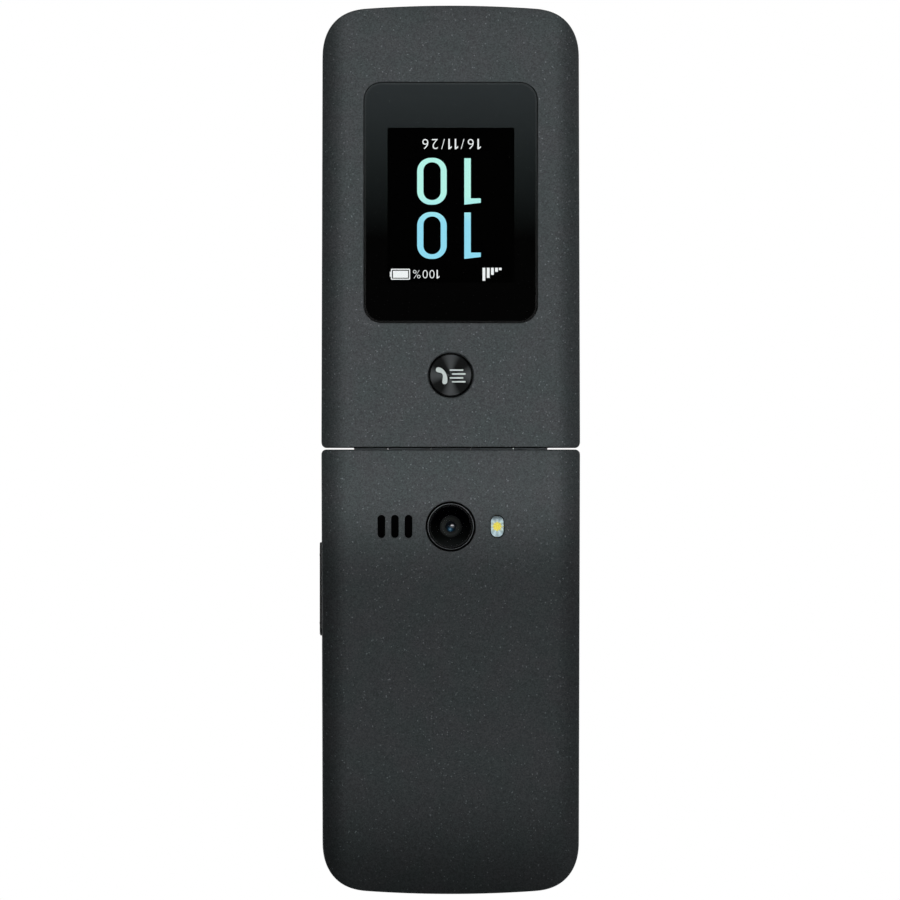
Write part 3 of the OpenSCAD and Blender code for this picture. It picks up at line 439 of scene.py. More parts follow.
# Clear glass with an anti-reflection coating
lens_glass, *_ = worn("coated_lens_glass", "#f4f6f8", (0.01, 0.03), 2.0, IOR=1.46,
    Transmission_Weight=1.0)
camera_pane = piece("camera_pane", round_camera([(0, 0.16), (4.5, 0.16), (4.67, 0.16), (4.71, 0.18),
    (4.72, 0.22), (4.72, 0.84), (4.66, 0.87), (4.4, 0.87), (0, 0.87)]), lens_glass, "base",
    ["camera_glass"])


def run(tree, value, low, high, *stops):
    """A colour ramp that a value runs through between low and high."""
    return add(tree, "ValToRGB", add(tree, "MapRange", value, From_Min=low, From_Max=high), stops=stops)


# Flocked black plastic: no shine. Its colour is painted paler towards the base's far end, as painted
# light where the lamps would graze the cone's far side.
baffle, tree, shader, place = finish("flocked_black_baffle", "#070808", 0.7, Specular_IOR_Level=0.0)
# Painted light: the colour grows paler towards the base's far end
painted_graze_light = add(tree, "SeparateXYZ", place).outputs["Y"]
painted_graze_light = run(tree, painted_graze_light, CAMERA_Y - 4.7, CAMERA_Y + 1.3, (0, "#232525"), (0.4, "#0c0e0d"),
    (0.8, "#040405"), (1, "#010102"))
flock = add(tree, "TexNoise", place, Scale=14.0)
flock = add(tree, "Bump", Height=flock, Strength=0.3, Distance=0.00003)
feed(shader, Base_Color=painted_graze_light, Normal=flock)
threads = [(r + cut, z) for r, z in zip(np.linspace(4.0, 2.5, 9), np.linspace(0.95, 1.2, 9))
    for cut in (0.0, -0.1)]
piece("camera_cone", round_camera([(4.7, 0.885), *threads, (2.4, 1.28), (4.05, 1.28), (4.05, 0.9),
    (4.7, 0.9), (4.7, 0.885)]), baffle, "base")

# Blackened brass: it shows as a faint warm ring. Painted light and shade: its colour is paler on one
# side and in a band round its middle, and darker at its inner and outer edges.
barrel, tree, shader, place = finish("blackened_lens_barrel", "#262725", 0.6, Specular_IOR_Level=0.05)
DIAGONAL = 0.7071
painted_side_light = add(tree, "VectorMath", place, (DIAGONAL, -DIAGONAL, 0.0), operation="DOT_PRODUCT")
middle = DIAGONAL * -CAMERA_Y
painted_side_light = run(tree, painted_side_light, middle - 2.4, middle + 2.4, (0, "#131514"), (1, "#343735"))
# Painted light and shade across the ring: a paler middle band between darker inner and outer edges
out = add(tree, "VectorMath", place, (0.0, CAMERA_Y, 1.2), operation="DISTANCE")
out = run(tree, out, 1.1, 2.5, (0, "#8f8f8f"), (0.45, "#ffffff"), (1, "#6a6a6a"))
feed(shader, Base_Color=add(tree, "VectorMath", painted_side_light, out, operation="MULTIPLY"))
piece("lens_barrel", round_camera([(2.38, 1.24), (2.3, 1.16), (2.1, 1.13), (1.75, 1.19), (1.6, 1.2),
    (1.3, 1.17), (1.22, 1.2), (1.22, 1.28), (2.38, 1.28), (2.38, 1.24)]), barrel, "base")

# Coated glass: near black, with a blue glint painted on as a reflection of the next lens. The face is a
# paraboloid, set off the axis.
LENS_R, LENS_BACK, LENS_SIDES = 1.2, 1.28, 48
front_lens, tree, shader, place = finish("coated_front_lens", "#101c2c", 0.05, Specular_IOR_Level=0.23)
painted_blue_glint = add(tree, "VectorMath", place, (0.1, CAMERA_Y - 0.62, 1.13), operation="DISTANCE")
feed(shader, Base_Color=run(tree, painted_blue_glint, 0.08, 1.1, (0, "#86aac2"), (0.22, "#2b5874"), (0.5, "#10222e"),
    (1, "#0b1014")))
a = np.linspace(0, 2 * np.pi, LENS_SIDES, endpoint=False)
r = np.linspace(0, LENS_R, 9)[:, None]
x, y = r * np.cos(a), r * np.sin(a)
dome = np.dstack([x, y + CAMERA_Y, 0.93 + ((x + 0.32) ** 2 + (y - 0.1) ** 2) / 8.2])
back = [at_height(dome[k, :, :2], LENS_BACK) for k in (-1, 0)]
piece("front_lens", shape([band([*dome, *back])]), front_lens, "base")

# ---------------------------------------------------------------- flash
# A clear polycarbonate lens, ribbed inside like a small Fresnel lens, with a yellow phosphor LED on
# a white carrier behind it. Black foam seals it into the cover.


def circle(x, y, r, n=40):
    """A loop of n points at the radius r, one for all of them or one for each, about (x, y)."""
    a = np.linspace(0, 2 * np.pi, n, endpoint=False)
    return np.c_[x + r * np.cos(a), y + r * np.sin(a)]


def block(loop, steps):
    """A closed pad: a flat face at the first and the last step, and a band between them."""
    return [fill_in([loop(steps[0][0])], steps[0][1]), steps_of(loop, steps),
        fill_in([loop(steps[-1][0])], steps[-1][1])]


def plate(loops, z0, z1):
    """A flat printed or cut shape: a filled outline, less its holes, from z0 to z1."""
    walls = [band([at_height(loop, z0), at_height(loop, z1)]) for loop in loops]
    return [fill_in(loops, z0), fill_in(loops, z1), *walls]


def star(grow=0.0):
    """The LED chip's outline: a circle whose radius swings 0.22 mm each way eight times."""
    a = np.linspace(0, 2 * np.pi, 32, endpoint=False)
    return circle(FLASH_X, CAMERA_Y, 0.95 + 0.22 * np.cos(8 * a) + grow, 32)


# Moulded polycarbonate: clear, with ring-shaped ribs 0.35 mm apart that break up what lies behind
clear_lens, tree, shader, place = finish("moulded_clear_polycarbonate", "#eef2f4", 0.08, IOR=1.58,
    Transmission_Weight=0.92)
ripple = add(tree, "VectorMath", place, (FLASH_X, CAMERA_Y, 0.0), operation="DISTANCE")
ripple = add(tree, "Math", ripple, 18.0, operation="MULTIPLY")
ripple = add(tree, "Math", ripple, operation="SINE")
feed(shader, Normal=add(tree, "Bump", Height=ripple, Strength=0.4, Distance=0.00006))
flash_loop = outline(2.8, 4.72, 1.4, FLASH_X, CAMERA_Y, 8)
flash_pane = piece("flash_window", shape(block(flash_loop, [(-0.32, 0.05), (-0.12, 0.06), (-0.03, 0.11),
    (0, 0.2), (0, 0.6)])), clear_lens, "base", ["flash_lens"])

# Closed-cell foam: dull black, with pores 0.1 mm across
gasket, tree, shader, place = finish("black_gasket_foam", "#0a0b0b", 0.7, Specular_IOR_Level=0.1)
pores = add(tree, "TexVoronoi", place, Scale=9.0)
feed(shader, Normal=add(tree, "Bump", Height=pores, Strength=0.4, Distance=0.00004))
piece("flash_gasket", shape(plate([pad(3.08, 5.08, 1.54, FLASH_X, CAMERA_Y, n=8), flash_loop(0.01)],
    0.16, 0.6)), gasket, "base")

# White glazed ceramic, given a painted glow and painted spokes of the light that the lens would gather,
# and painted shadow over its top end, where the upper rim of the pocket would keep the light off.
ceramic, tree, shader, place = finish("white_led_carrier", "#d4dadb", 0.6, Specular_IOR_Level=0.1,
    Emission_Strength=0.5)
painted_spoke_light = add(tree, "VectorMath", place, (-FLASH_X, -CAMERA_Y, 0.0), operation="ADD")
painted_spoke_light = add(tree, "SeparateXYZ", painted_spoke_light).outputs
painted_spoke_light = add(tree, "Math", painted_spoke_light["Y"], painted_spoke_light["X"], operation="ARCTAN2")
painted_spoke_light = add(tree, "Math", painted_spoke_light, 9.0, operation="MULTIPLY")
painted_spoke_light = add(tree, "Math", painted_spoke_light, operation="SINE")
painted_spoke_light = run(tree, painted_spoke_light, -1, 1, (0, "#a5bac2"), (1, "#cfe2e8"))
# Painted shadow: the colour and glow fade out towards the carrier's top end
painted_end_shadow = add(tree, "SeparateXYZ", place).outputs["Y"]
painted_end_shadow = add(tree, "MapRange", painted_end_shadow, From_Min=CAMERA_Y + 1.2, From_Max=CAMERA_Y + 2.1,
    To_Min=1.0, To_Max=0.12)
painted_spoke_light = add(tree, "VectorMath", painted_spoke_light, Scale=painted_end_shadow, operation="SCALE")
feed(shader, Base_Color=painted_spoke_light, Emission_Color=painted_spoke_light)
piece("flash_carrier", shape(block(flash_loop, [(-0.05, 0.82), (-0.05, 1.15)])), ceramic, "base")

# Phosphor in clear resin: warm yellow, faintly speckled, and given a painted glow
phosphor, tree, shader, place = finish("yellow_phosphor", "#dcca55", 0.6, Specular_IOR_Level=0.1,
    Emission_Strength=0.6, Emission_Color=linear("#fde945"))
speckle = add(tree, "TexVoronoi", place, Scale=5.0)
feed(shader, Base_Color=add(tree, "ValToRGB", speckle, stops=[(0, "#e8d868"), (1, "#d6bf48")]))
piece("flash_chip", shape(block(star, [(-0.06, 0.7), (0, 0.74), (0, 0.82)])), phosphor, "base")

# ---------------------------------------------------------------- inside the base
# The parts that the casings hide: a moulded frame with its battery, the main board with what is
# soldered to it, the loudspeaker under its mesh, and the screws. They keep their solids.


def dress(names, material):
    """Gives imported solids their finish."""
    for name in names:
        mesh = cad[name].data
        mesh.materials.clear()
        mesh.materials.append(material)
        mesh.shade_smooth()
        mesh.set_sharp_from_angle(angle=np.radians(30))


def mottled(name, dark, light, rough, metallic=0.0, scale=1.0, bump=0.0, **sockets):
    """A finish whose colour wanders between two tones over a size of about 1/scale millimetres, with
    an optional fine relief of the same size."""
    made, tree, shader, place = finish(name, dark, rough, metallic, **sockets)
    noise = add(tree, "TexNoise", place, Scale=scale, Detail=3.0)
    feed(shader, Base_Color=add(tree, "ValToRGB", noise, stops=[(0.35, dark), (0.65, light)]))
    if bump:
        feed(shader, Normal=add(tree, "Bump", Height=noise, Strength=bump, Distance=0.00005))
    return made, tree, shader, place


# Glass-filled nylon: dull, with a faint moulded grain
dress(["mid_frame"], mottled("moulded_black_nylon", "#26282a", "#303335", 0.6, scale=2.5, bump=0.25)[0])
# Shrink-wrapped cell: satin film over foil, slightly uneven
dress(["battery"], mottled("battery_film", "#2f3236", "#3b3f44", 0.38, scale=0.3, bump=0.2,
    Coat_Weight=0.4, Coat_Roughness=0.2)[0])
# Solder mask over copper: glossy green with copper tracks showing through as lighter lines
board, tree, shader, place = finish("solder_mask_board", "#155236", 0.34, Coat_Weight=0.3)
feed(shader, Base_Color=add(tree, "TexBrick", place, Color1=linear("#175a3b"), Color2=linear("#114a30"),
    Mortar=linear("#2c7a52"), Scale=0.5, Mortar_Size=0.06, Bias=0.0, Brick_Width=1.7, Row_Height=0.8))
dress(["main_board", "lid_board"], board)
# Pressed tinplate and stainless steel, as rolled: bright, with soft streaks
steel, *_ = mottled("rolled_stainless_steel", "#9b9fa2", "#c3c6c8", 0.3, 0.95, scale=0.8)
dress(["board_parts", "usb_port", "volume_switches", "vibration_motor", "lid_button_switch",
    "key_domes", "lid_magnet", "hinge_cartridge", "hinge_cam", "hinge_bush"], steel)
# Steel, blackened with oxide: dark, with a dull metal shine
dress(["base_screws", "lid_screws"], mottled("blackened_screw_steel", "#2c2d2f", "#3c3e40", 0.35, 0.9,
    scale=3.0)[0])
# Polyimide film with copper under it: glossy amber
dress(["base_flex", "lid_flex"], mottled("polyimide_film", "#a86a22", "#c8863a", 0.35,
    Coat_Weight=0.3)[0])
# Moulded liquid-crystal polymer: matt black
speaker_plastic, *_ = mottled("speaker_capsule", "#101112", "#1a1b1c", 0.5, scale=2.0, bump=0.2)
dress(["loudspeaker", "earpiece", "camera_module", "headset_jack"], speaker_plastic)
# The LED's solid takes the carrier's finish, with its painted glow and painted light
dress(["flash_led"], ceramic)
# Silicone rubber: grey and quite dull
dress(["keypad_mat"], mottled("silicone_rubber", "#3a3d40", "#44474a", 0.7, scale=3.0, bump=0.3)[0])
# Woven acoustic mesh: black threads 0.12 mm apart
cloth, tree, shader, place = finish("woven_acoustic_mesh", "#050506", 0.75, Specular_IOR_Level=0.0)
feed(shader, Base_Color=add(tree, "TexChecker", place, Color1=linear("#070708"),
    Color2=linear("#020202"), Scale=8.0))
dress(["speaker_mesh", "earpiece_mesh"], cloth)

# ---------------------------------------------------------------- keypad housing
# The base's inner casing: black-grey glass-filled nylon, moulded in one with the hinge block and
# three knuckles. The keys come up through its deck, and it is spark-eroded to a fine matt grain.

HINGE_Z, BARREL_R, BORE_R = 9.5, 4.2, 2.83
BARREL_END, HINGE_BLOCK = 21.5, 5.4
BARREL_GAP, BORE_GAP, SPRAY_GAP = 0.3, 0.02, 0.06
SEAM_Z, BASE_T, DECK_Z = 4.5, 10.4, 9.4
RIM_RUN, RIM_R, RIM_CREASE, RIM_EASE = 1.2, 1.6, 0.3, 0.3
INNER_FLAT = BODY_W / 2 - RIM_RUN - RIM_CREASE
KEY_R, KEY_GAP, DECK_EASE = 2.2, 0.15, 0.12
DIGIT_X, DIGIT_SIZE = 18.0, (16.4, 9.4)
DIGIT_ROWS = [(-51.6, "123"), (-62.6, "456"), (-73.6, "789"), (-84.6, "*0#")]
DIGIT_NAMES = {"*": "star", "#": "hash"}
SIDE_KEYS = {"soft_left": (-20, -16.2, 12.4, 7.4), "soft_right": (20, -16.2, 12.4, 7.4),
    "call_key": (-20, -28.15, 12.4, 10.5), "end_key": (20, -28.15, 12.4, 10.5),
    "clear_key": (0, -40.05, 14, 6)}
NAV_Y, NAV_W, NAV_H, NAV_R = -24.2, 24.5, 22.5, 8.0
PORT_SIZE, PORT_Z = (8.94, 3.2, 1.5), 6.95
SIDE_Z, ROCKER_Y, JACK_Y = 6.55, -31.3, -8.8
MIC_X, MIC_Y = 9.5, -94.67
BOSS_SIDES = 32


def inner_face(t):
    """Inner face of a half of thickness t: flat, then a circle of radius 1.6 over the last 1.2 mm."""
    return lambda x: t - RIM_R + np.sqrt(RIM_R ** 2
        - np.maximum(np.abs(x) - INNER_FLAT - RIM_CREASE, 0) ** 2)


def inner_shell(length, thick, ledge, lip, top_holes, ledge_holes):
    """The sheets of an inner casing: its wall, from the ledge inside down to the seam and up to the
    rounded edge, and two faces with their holes. lip carries the wall on past the hinge edge."""
    top = inner_face(thick)
    wall = band([wall_ring(length, WALL, INNER_FLAT, ledge, HINGE_BLOCK),
        wall_ring(length, WALL, INNER_FLAT, SEAM_Z, HINGE_BLOCK),
        wall_ring(length, SEAM_EASE, INNER_FLAT, SEAM_Z, SEAM_EASE - lip),
        wall_ring(length, 0, INNER_FLAT, SEAM_Z + SEAM_EASE, -lip),
        *rounded_edge(length, INNER_FLAT, top, -1, RIM_EASE)[::-1]])
    return [wall, skin(half_ring(length, RIM_EASE + EDGE_STEP, INNER_FLAT), INNER_FLAT, top, top_holes),
        skin(half_ring(length, WALL, INNER_FLAT, HINGE_BLOCK), INNER_FLAT, lambda x: ledge + 0 * x,
            ledge_holes)]


def carved(mesh, cutters, how="DIFFERENCE"):
    """Cuts closed shapes out of a mesh, or joins them to it."""
    for cutter in cutters:
        work, tool = bpy.data.objects.new("work", mesh), bpy.data.objects.new("tool", shape([cutter]))
        for o in (work, tool):
            scene.collection.objects.link(o)
        cut = work.modifiers.new("cut", "BOOLEAN")
        cut.operation, cut.solver, cut.object = how, "EXACT", tool
        bpy.context.view_layer.update()
        done = work.evaluated_get(bpy.context.evaluated_depsgraph_get())
        mesh = bpy.data.meshes.new_from_object(done)
        for o in (work, tool):
            bpy.data.objects.remove(o)
    solid = bmesh.new()
    solid.from_mesh(mesh)
    bmesh.ops.remove_doubles(solid, verts=solid.verts, dist=0.002)
    bmesh.ops.dissolve_degenerate(solid, edges=solid.edges, dist=0.002)
    solid.to_mesh(mesh)
    solid.free()
    return mesh


def bar(loop, steps, axis):
    """A closed bar carried along the X or the Y axis: loop, a section of (across, height), grown by
    each step's growth at each step's place."""
    rings = [np.insert(loop(grow), "xy".index(axis), place, axis=1) for grow, place in steps]
    ends = [(ring, np.array(tessellate_polygon([ring.tolist()]))) for ring in (rings[0], rings[-1])]
    return [band(rings), *ends]


def drum(x0, x1, r):
    """A closed round bar on the hinge axis, for cutting."""
    return turned([(0, x0), (r, x0), (r, x1), (0, x1)], along=HINGE_Z)


def knuckle(x0, x1, closed=0):
    """A hinge knuckle on the axis: a tube with a small round at each end, and a cap of 0.8 mm at the
    end that closed points to."""
    f, cap = 0.25, 0.8
    a = np.radians(np.linspace(0, 90, 5))
    low = np.c_[BARREL_R - f + f * np.sin(a), x0 + f - f * np.cos(a)]
    high = np.c_[BARREL_R - f + f * np.cos(a), x1 - f + f * np.sin(a)]
    start = (0, x0) if closed < 0 else (BORE_R, x0)
    end = (0, x1) if closed > 0 else (BORE_R, x1)
    cap_high = [(0, x1 - cap), (BORE_R, x1 - cap)] if closed > 0 else [end]
    cap_low = [(BORE_R, x0 + cap), (0, x0 + cap)] if closed < 0 else [start]
    return turned([start, *low, *high, end, *cap_high, *cap_low], along=HINGE_Z)


def jack_loop(grow=0.0):
    """The headset jack's hole in the side."""
    return circle(JACK_Y, SIDE_Z, 1.95 + grow)


# Spark-eroded nylon gives a fine matt grain; the barrel is sprayed with the covers' flake paint
base_grain, tree, shader, place = mottled("eroded_glass_filled_nylon", "#242628", "#2b2d2f", 0.52,
    scale=5.0, bump=0.35, Specular_IOR_Level=0.2)
from_axis = add(tree, "VectorMath", place, (0, 1, 1), operation="MULTIPLY")
from_axis = add(tree, "VectorMath", from_axis, (0, 0, HINGE_Z), operation="DISTANCE")
sprayed = add(tree, "Math", from_axis, BARREL_R + SPRAY_GAP, operation="LESS_THAN")
across = add(tree, "SeparateXYZ", place).outputs["X"]
across = add(tree, "Math", across, operation="ABSOLUTE")
across = add(tree, "Math", across, BARREL_END + SPRAY_GAP, operation="LESS_THAN")
sprayed = add(tree, "Math", sprayed, across, operation="MULTIPLY")
hue = add(tree, "Mix", Factor=sprayed, A=shader.inputs["Base Color"].links[0].from_socket,
    B=linear("#464a4c"), data_type="RGBA")
metal = add(tree, "Math", sprayed, 0.7, operation="MULTIPLY")
feed(shader, Base_Color=hue, Metallic=metal)

keys = {"key_" + DIGIT_NAMES.get(digit, digit): (side * DIGIT_X, y, *DIGIT_SIZE)
    for y, row in DIGIT_ROWS for side, digit in zip((-1, 0, 1), row)}
keys.update(SIDE_KEYS)
deck_holes = [outline(w + 2 * KEY_GAP, h + 2 * KEY_GAP, KEY_R + KEY_GAP, x, -y)
    for x, y, w, h in keys.values()]
deck_holes.append(outline(NAV_W + 2 * KEY_GAP, NAV_H + 2 * KEY_GAP, NAV_R + KEY_GAP, 0, -NAV_Y))
deck_holes.append(outline(1.0, 1.0, 0.5, MIC_X, -MIC_Y))
bosses = [(s * x, y) for x, y in ((20.0, 40.5), (18.4, 94.87)) for s in (-1, 1)]
sheets = inner_shell(BASE_LEN, BASE_T, DECK_Z, 0, [hole(DECK_EASE + MARGIN) for hole in deck_holes],
    [hole() for hole in deck_holes] + [circle(x, y, 1.8, BOSS_SIDES) for x, y in bosses])
sheets += [steps_of(hole, [*eased(DECK_EASE, BASE_T, -1), (0, DECK_Z)]) for hole in deck_holes]
# Screw bosses under the deck: down their outside, across the foot and up the bore
sheets += [turned([(1.8, DECK_Z), (1.8, 7.7), (0.85, 7.7), (0.85, 9.0), (0, 9.0)], x, y, BOSS_SIDES)
    for x, y in bosses]
port_loop = outline(*PORT_SIZE, 0, PORT_Z)
cuts = [drum(-14.08, -4.32, BARREL_R + BARREL_GAP), drum(4.32, 14.08, BARREL_R + BARREL_GAP),
    drum(-20.68, 20.68, BORE_R + BORE_GAP), bar(port_loop, [(0.3, -99.5), (0.3, -96.0)], "y"),
    bar(jack_loop, [(0, -30), (0, -26)], "x"),
    bar(outline(21.1, 3.1, 1.5, ROCKER_Y, SIDE_Z), [(0, 26), (0, 30)], "x")]
housing = carved(shape(sheets, -1), cuts)
housing = carved(housing, [knuckle(-BARREL_END, -14.05, -1), knuckle(14.05, BARREL_END, 1),
    knuckle(-4.35, 4.35)], "UNION")
piece("keypad_casing", housing, base_grain, "base", ["keypad_housing"])
washers = [turned([(2.95, x - 0.05), (3.9, x - 0.05), (3.9, x + 0.05), (2.95, x + 0.05),
    (2.95, x - 0.05)], along=HINGE_Z) for x in (-4.45, 4.45)]
piece("hinge_washers", shape(washers), gasket, "base")
gauze = turned([(0, 9.3), (1.1, 9.3), (1.1, 9.38), (0, 9.38)], MIC_X, MIC_Y, 24)
piece("microphone_gauze", shape([gauze]), cloth, "base")

# ---------------------------------------------------------------- keys
# Each key is a moulded polycarbonate cap with a softly domed top on a silicone mat, lacquered
# satin black. Its figure is printed in white; the call and end keys have green and red handsets.

KEY_TOP, FLANGE_Z, FLANGE, CAP_ROUND = 10.6, 8.8, 0.4, 0.2
PRINT_Z = (KEY_TOP - 0.02, KEY_TOP + 0.012)
cap_finish, *_ = mottled("satin_lacquered_keycap", "#1c1d1f", "#222426", 0.36, scale=1.5,
    Coat_Weight=0.35, Coat_Roughness=0.25)
# Screen ink, printed and baked: flat and slightly uneven
white_print, *_ = mottled("white_printed_ink", "#d9dcdc", "#e6e8e8", 0.5, scale=6.0)
green_print, *_ = mottled("green_printed_ink", "#2fb457", "#3cc266", 0.5, scale=6.0)
red_print, *_ = mottled("red_printed_ink", "#d33a34", "#e04640", 0.5, scale=6.0)


def rounded(r, z, into):
    """Steps (growth, height) up over the rounded rim of a pad to its face at height z: the quarter
    circle of a hole's rim, turned inside out."""
    return [(-grow, height) for grow, height in eased(r, z, into)[:0:-1]]


def key_cap(loop, top, drop=0.16, crown=2.6):
    """A key cap: flange, wall, a round of 0.2 mm, and a top that rises on a cosine to a flat middle."""
    rise = [(-CAP_ROUND - (crown - CAP_ROUND) * v, top - drop * (1 + np.cos(np.pi * v)) / 2)
        for v in np.linspace(0, 1, 8)[1:]]
    return block(loop, [(FLANGE, FLANGE_Z), (FLANGE, FLANGE_Z + 0.5), (0.05, FLANGE_Z + 0.5),
        (0, FLANGE_Z + 0.55), *rounded(CAP_ROUND, top - drop, -1), *rise])


def one(x, y, h, turn=1):
    """A figure 1 of height h, with its flag: six straight strokes round its outline."""
    points = np.array([(0.12, 0.5), (0, 0.5), (-0.21, 0.34), (-0.21, 0.2), (-0.02, 0.33), (-0.02, -0.5),
        (0.12, -0.5)])
    return points * [h, h * turn] + [x, y]


def glyph(char, weight=0.0):
    """A figure of the plain built-in face as flat points and faces. weight thickens its strokes."""
    curve = bpy.data.curves.new("figure", "FONT")
    curve.body, curve.offset = char, weight
    thing = bpy.data.objects.new("figure", curve)
    scene.collection.objects.link(thing)
    mesh = bpy.data.meshes.new_from_object(thing)
    bpy.data.objects.remove(thing)
    points = np.empty(3 * len(mesh.vertices))
    mesh.vertices.foreach_get("co", points)
    return points.reshape(-1, 3)[:, :2], [tuple(p.vertices) for p in mesh.polygons]


FIGURE_H = float(np.ptp(glyph("0")[0][:, 1]))
ADVANCE = {"1": 0.44, "/": 0.46, "%": 0.98}


def figure(char, height, x, y, z0, z1, turn=1, weight=0.0):
    """One figure, centred on (x, y): its face at both heights, with walls along its free edges."""
    if char == "1":
        return plate([one(x, y, height, turn)], z0, z1)
    points, faces = glyph(char, weight)
    middle = (points.max(0) + points.min(0)) / 2
    points = (points - middle) * height / FIGURE_H * [1, turn] + [x, y]
    edges = {edge for face in faces for edge in zip(face, face[1:] + face[:1])}
    n = len(points)
    walls = [(p, q, q + n, p + n) for p, q in edges if (q, p) not in edges]
    both = np.vstack([at_height(points, z0), at_height(points, z1)])
    return [(both, faces + [tuple(i + n for i in face) for face in faces] + walls)]


def figures(text, height, x, y, z0, z1, turn=1, gap=1.0, weight=0.0):
    """A row of figures, centred on (x, y). turn is 1 to read from above and -1 to read from below
    with the phone shut, as rows run back to front there. gap spaces the figures."""
    steps = np.array([ADVANCE.get(char, 0.66) for char in text]) * height * gap
    places = x + np.cumsum(steps) - steps / 2 - steps.sum() / 2
    return [sheet for char, place in zip(text, places)
        for sheet in figure(char, height, place, y, z0, z1, turn, weight)]


def stroke(path, widths, n=24):
    """An outline of varying width round a quadratic curve through three control points, with round
    ends: the curve's points plus and minus half the width along its normal."""
    p = np.array(path, float)
    t = np.linspace(0, 1, n)[:, None]
    line = (1 - t) ** 2 * p[0] + 2 * t * (1 - t) * p[1] + t ** 2 * p[2]
    w = np.interp(t[:, 0], np.linspace(0, 1, len(widths)), widths)[:, None] / 2
    d = np.gradient(line, axis=0)
    d /= np.linalg.norm(d, axis=1)[:, None]
    normal = np.c_[-d[:, 1], d[:, 0]]
    a = np.radians(np.linspace(0, 180, 9))[1:-1, None]
    tips = [line[k] + side * w[k] * (normal[k] * np.cos(a) + d[k] * np.sin(a))
        for k, side in ((-1, 1), (0, -1))]
    return np.vstack([line + w * normal, tips[0], (line - w * normal)[::-1], tips[1]])


def six_arms(r, w):
    """A six-armed star: arms of radius r and width w, with a notch between each two."""
    a = np.radians(np.arange(90, 450, 60))[:, None]
    out, side = np.c_[np.cos(a), np.sin(a)], np.c_[-np.sin(a), np.cos(a)]
    b = a + np.radians(30)
    notch = np.c_[np.cos(b), np.sin(b)] * w
    return np.hstack([r * out - w / 2 * side, r * out + w / 2 * side, notch]).reshape(-1, 2)


HANDSET = [2.1, 2.0, 1.1, 1.0, 1.1, 2.0, 2.1]
tilt = np.radians(45)
lifted = np.array([(-2.7, 0.2), (0, 3.4), (2.7, 0.2)]) @ [[np.cos(tilt), np.sin(tilt)],
    [-np.sin(tilt), np.cos(tilt)]]
arrow = np.array([(2.1, 0.27), (-1.35, 0.27), (-0.7, 0.92), (-1.08, 1.3), (-2.38, 0), (-1.08, -1.3),
    (-0.7, -0.92), (-1.35, -0.27), (2.1, -0.27)])
dash = stroke([(-2.2, 0), (0, 0), (2.2, 0)], [0.7, 0.7])
signs = {"call_key": (green_print, stroke(lifted, HANDSET)),
    "end_key": (red_print, stroke([(-3.0, -1.0), (0, 1.6), (3.0, -1.0)], HANDSET)),
    "clear_key": (white_print, arrow), "key_star": (white_print, six_arms(1.75, 0.5)),
    "soft_left": (white_print, dash), "soft_right": (white_print, dash)}
for name, (x, y, w, h) in keys.items():
    piece(name + "_cap", shape(key_cap(outline(w, h, KEY_R, x, y), KEY_TOP)), cap_finish, name,
        [name])
    if name in signs:
        printed, sign = signs[name]
        mark = plate([sign + [x, y]], *PRINT_Z)
    else:
        printed, mark = white_print, figure(name[4:].replace("hash", "#"), 4.2, x, y, *PRINT_Z)
    piece(name + "_print", shape(mark), printed, name)

# ---------------------------------------------------------------- four-way ring and middle key
# A zinc casting, brushed and plated dark chrome, with a dished face and a mark at each of its four
# points. The middle key sits in it, and both tilt or sink on a spring steel support.

NAV_TOP, NAV_LOW, NAV_SINK = 10.5, 8.7, 0.02
NAV_HOLE_R, OK_R, STEM_R = 5.7, 5.2, 3.0

# Dark chrome over brushed zinc: streaks along X, 0.1 mm apart, catch the light
nav_metal, tree, shader, place = finish("dark_chrome_plating", "#4b4e51", 0.34, 0.9)
brush = add(tree, "VectorMath", place, (0.3, 6.0, 1.0), operation="MULTIPLY")
brush = add(tree, "TexNoise", brush, Scale=1.5, Detail=4.0)
feed(shader, Roughness=add(tree, "MapRange", brush, To_Min=0.28, To_Max=0.46))

nav_loop = outline(NAV_W, NAV_H, NAV_R, 0, NAV_Y, 12)
nav_hole, ok_loop, stem = (outline(2 * r, 2 * r, r, 0, NAV_Y, 12) for r in (NAV_HOLE_R, OK_R, STEM_R))
low = [at_height(nav_hole(), NAV_LOW), at_height(nav_loop(FLANGE), NAV_LOW),
    at_height(nav_loop(FLANGE), NAV_LOW + 0.35), at_height(nav_loop(), NAV_LOW + 0.35)]
ease = [at_height(nav_loop(g), z - NAV_SINK) for g, z in rounded(CAP_ROUND, NAV_TOP, -1)]
dish = [at_height((1 - v) * nav_loop(-CAP_ROUND) + v * nav_hole(CAP_ROUND),
    NAV_TOP - NAV_SINK - 0.22 * np.sin(np.pi * v)) for v in np.linspace(0, 1, 9)[1:-1]]
bore = [at_height(nav_hole(g), z - NAV_SINK) for g, z in eased(CAP_ROUND, NAV_TOP, -1)[1:]]
piece("nav_ring_casting", shape([band([*low, *ease, *dish, *bore, low[0]])]), nav_metal, "nav_ring",
    ["nav_ring"])
marks = []
for quarter in range(4):
    c, s = np.cos(quarter * np.pi / 2), np.sin(quarter * np.pi / 2)
    for side in (-1, 1):
        path = np.array([(8.9, 0), (8.45, 0.6 * side), (8.0, 1.2 * side)])
        path *= [0.95 if quarter % 2 else 1.0, 1]
        marks += plate([stroke(path @ [[c, s], [-s, c]] + [0, NAV_Y], [0.34, 0.34], 8)], NAV_TOP - 0.3,
            NAV_TOP - 0.17)
piece("nav_ring_marks", shape(marks), white_print, "nav_ring")
dress(["nav_support"], steel)

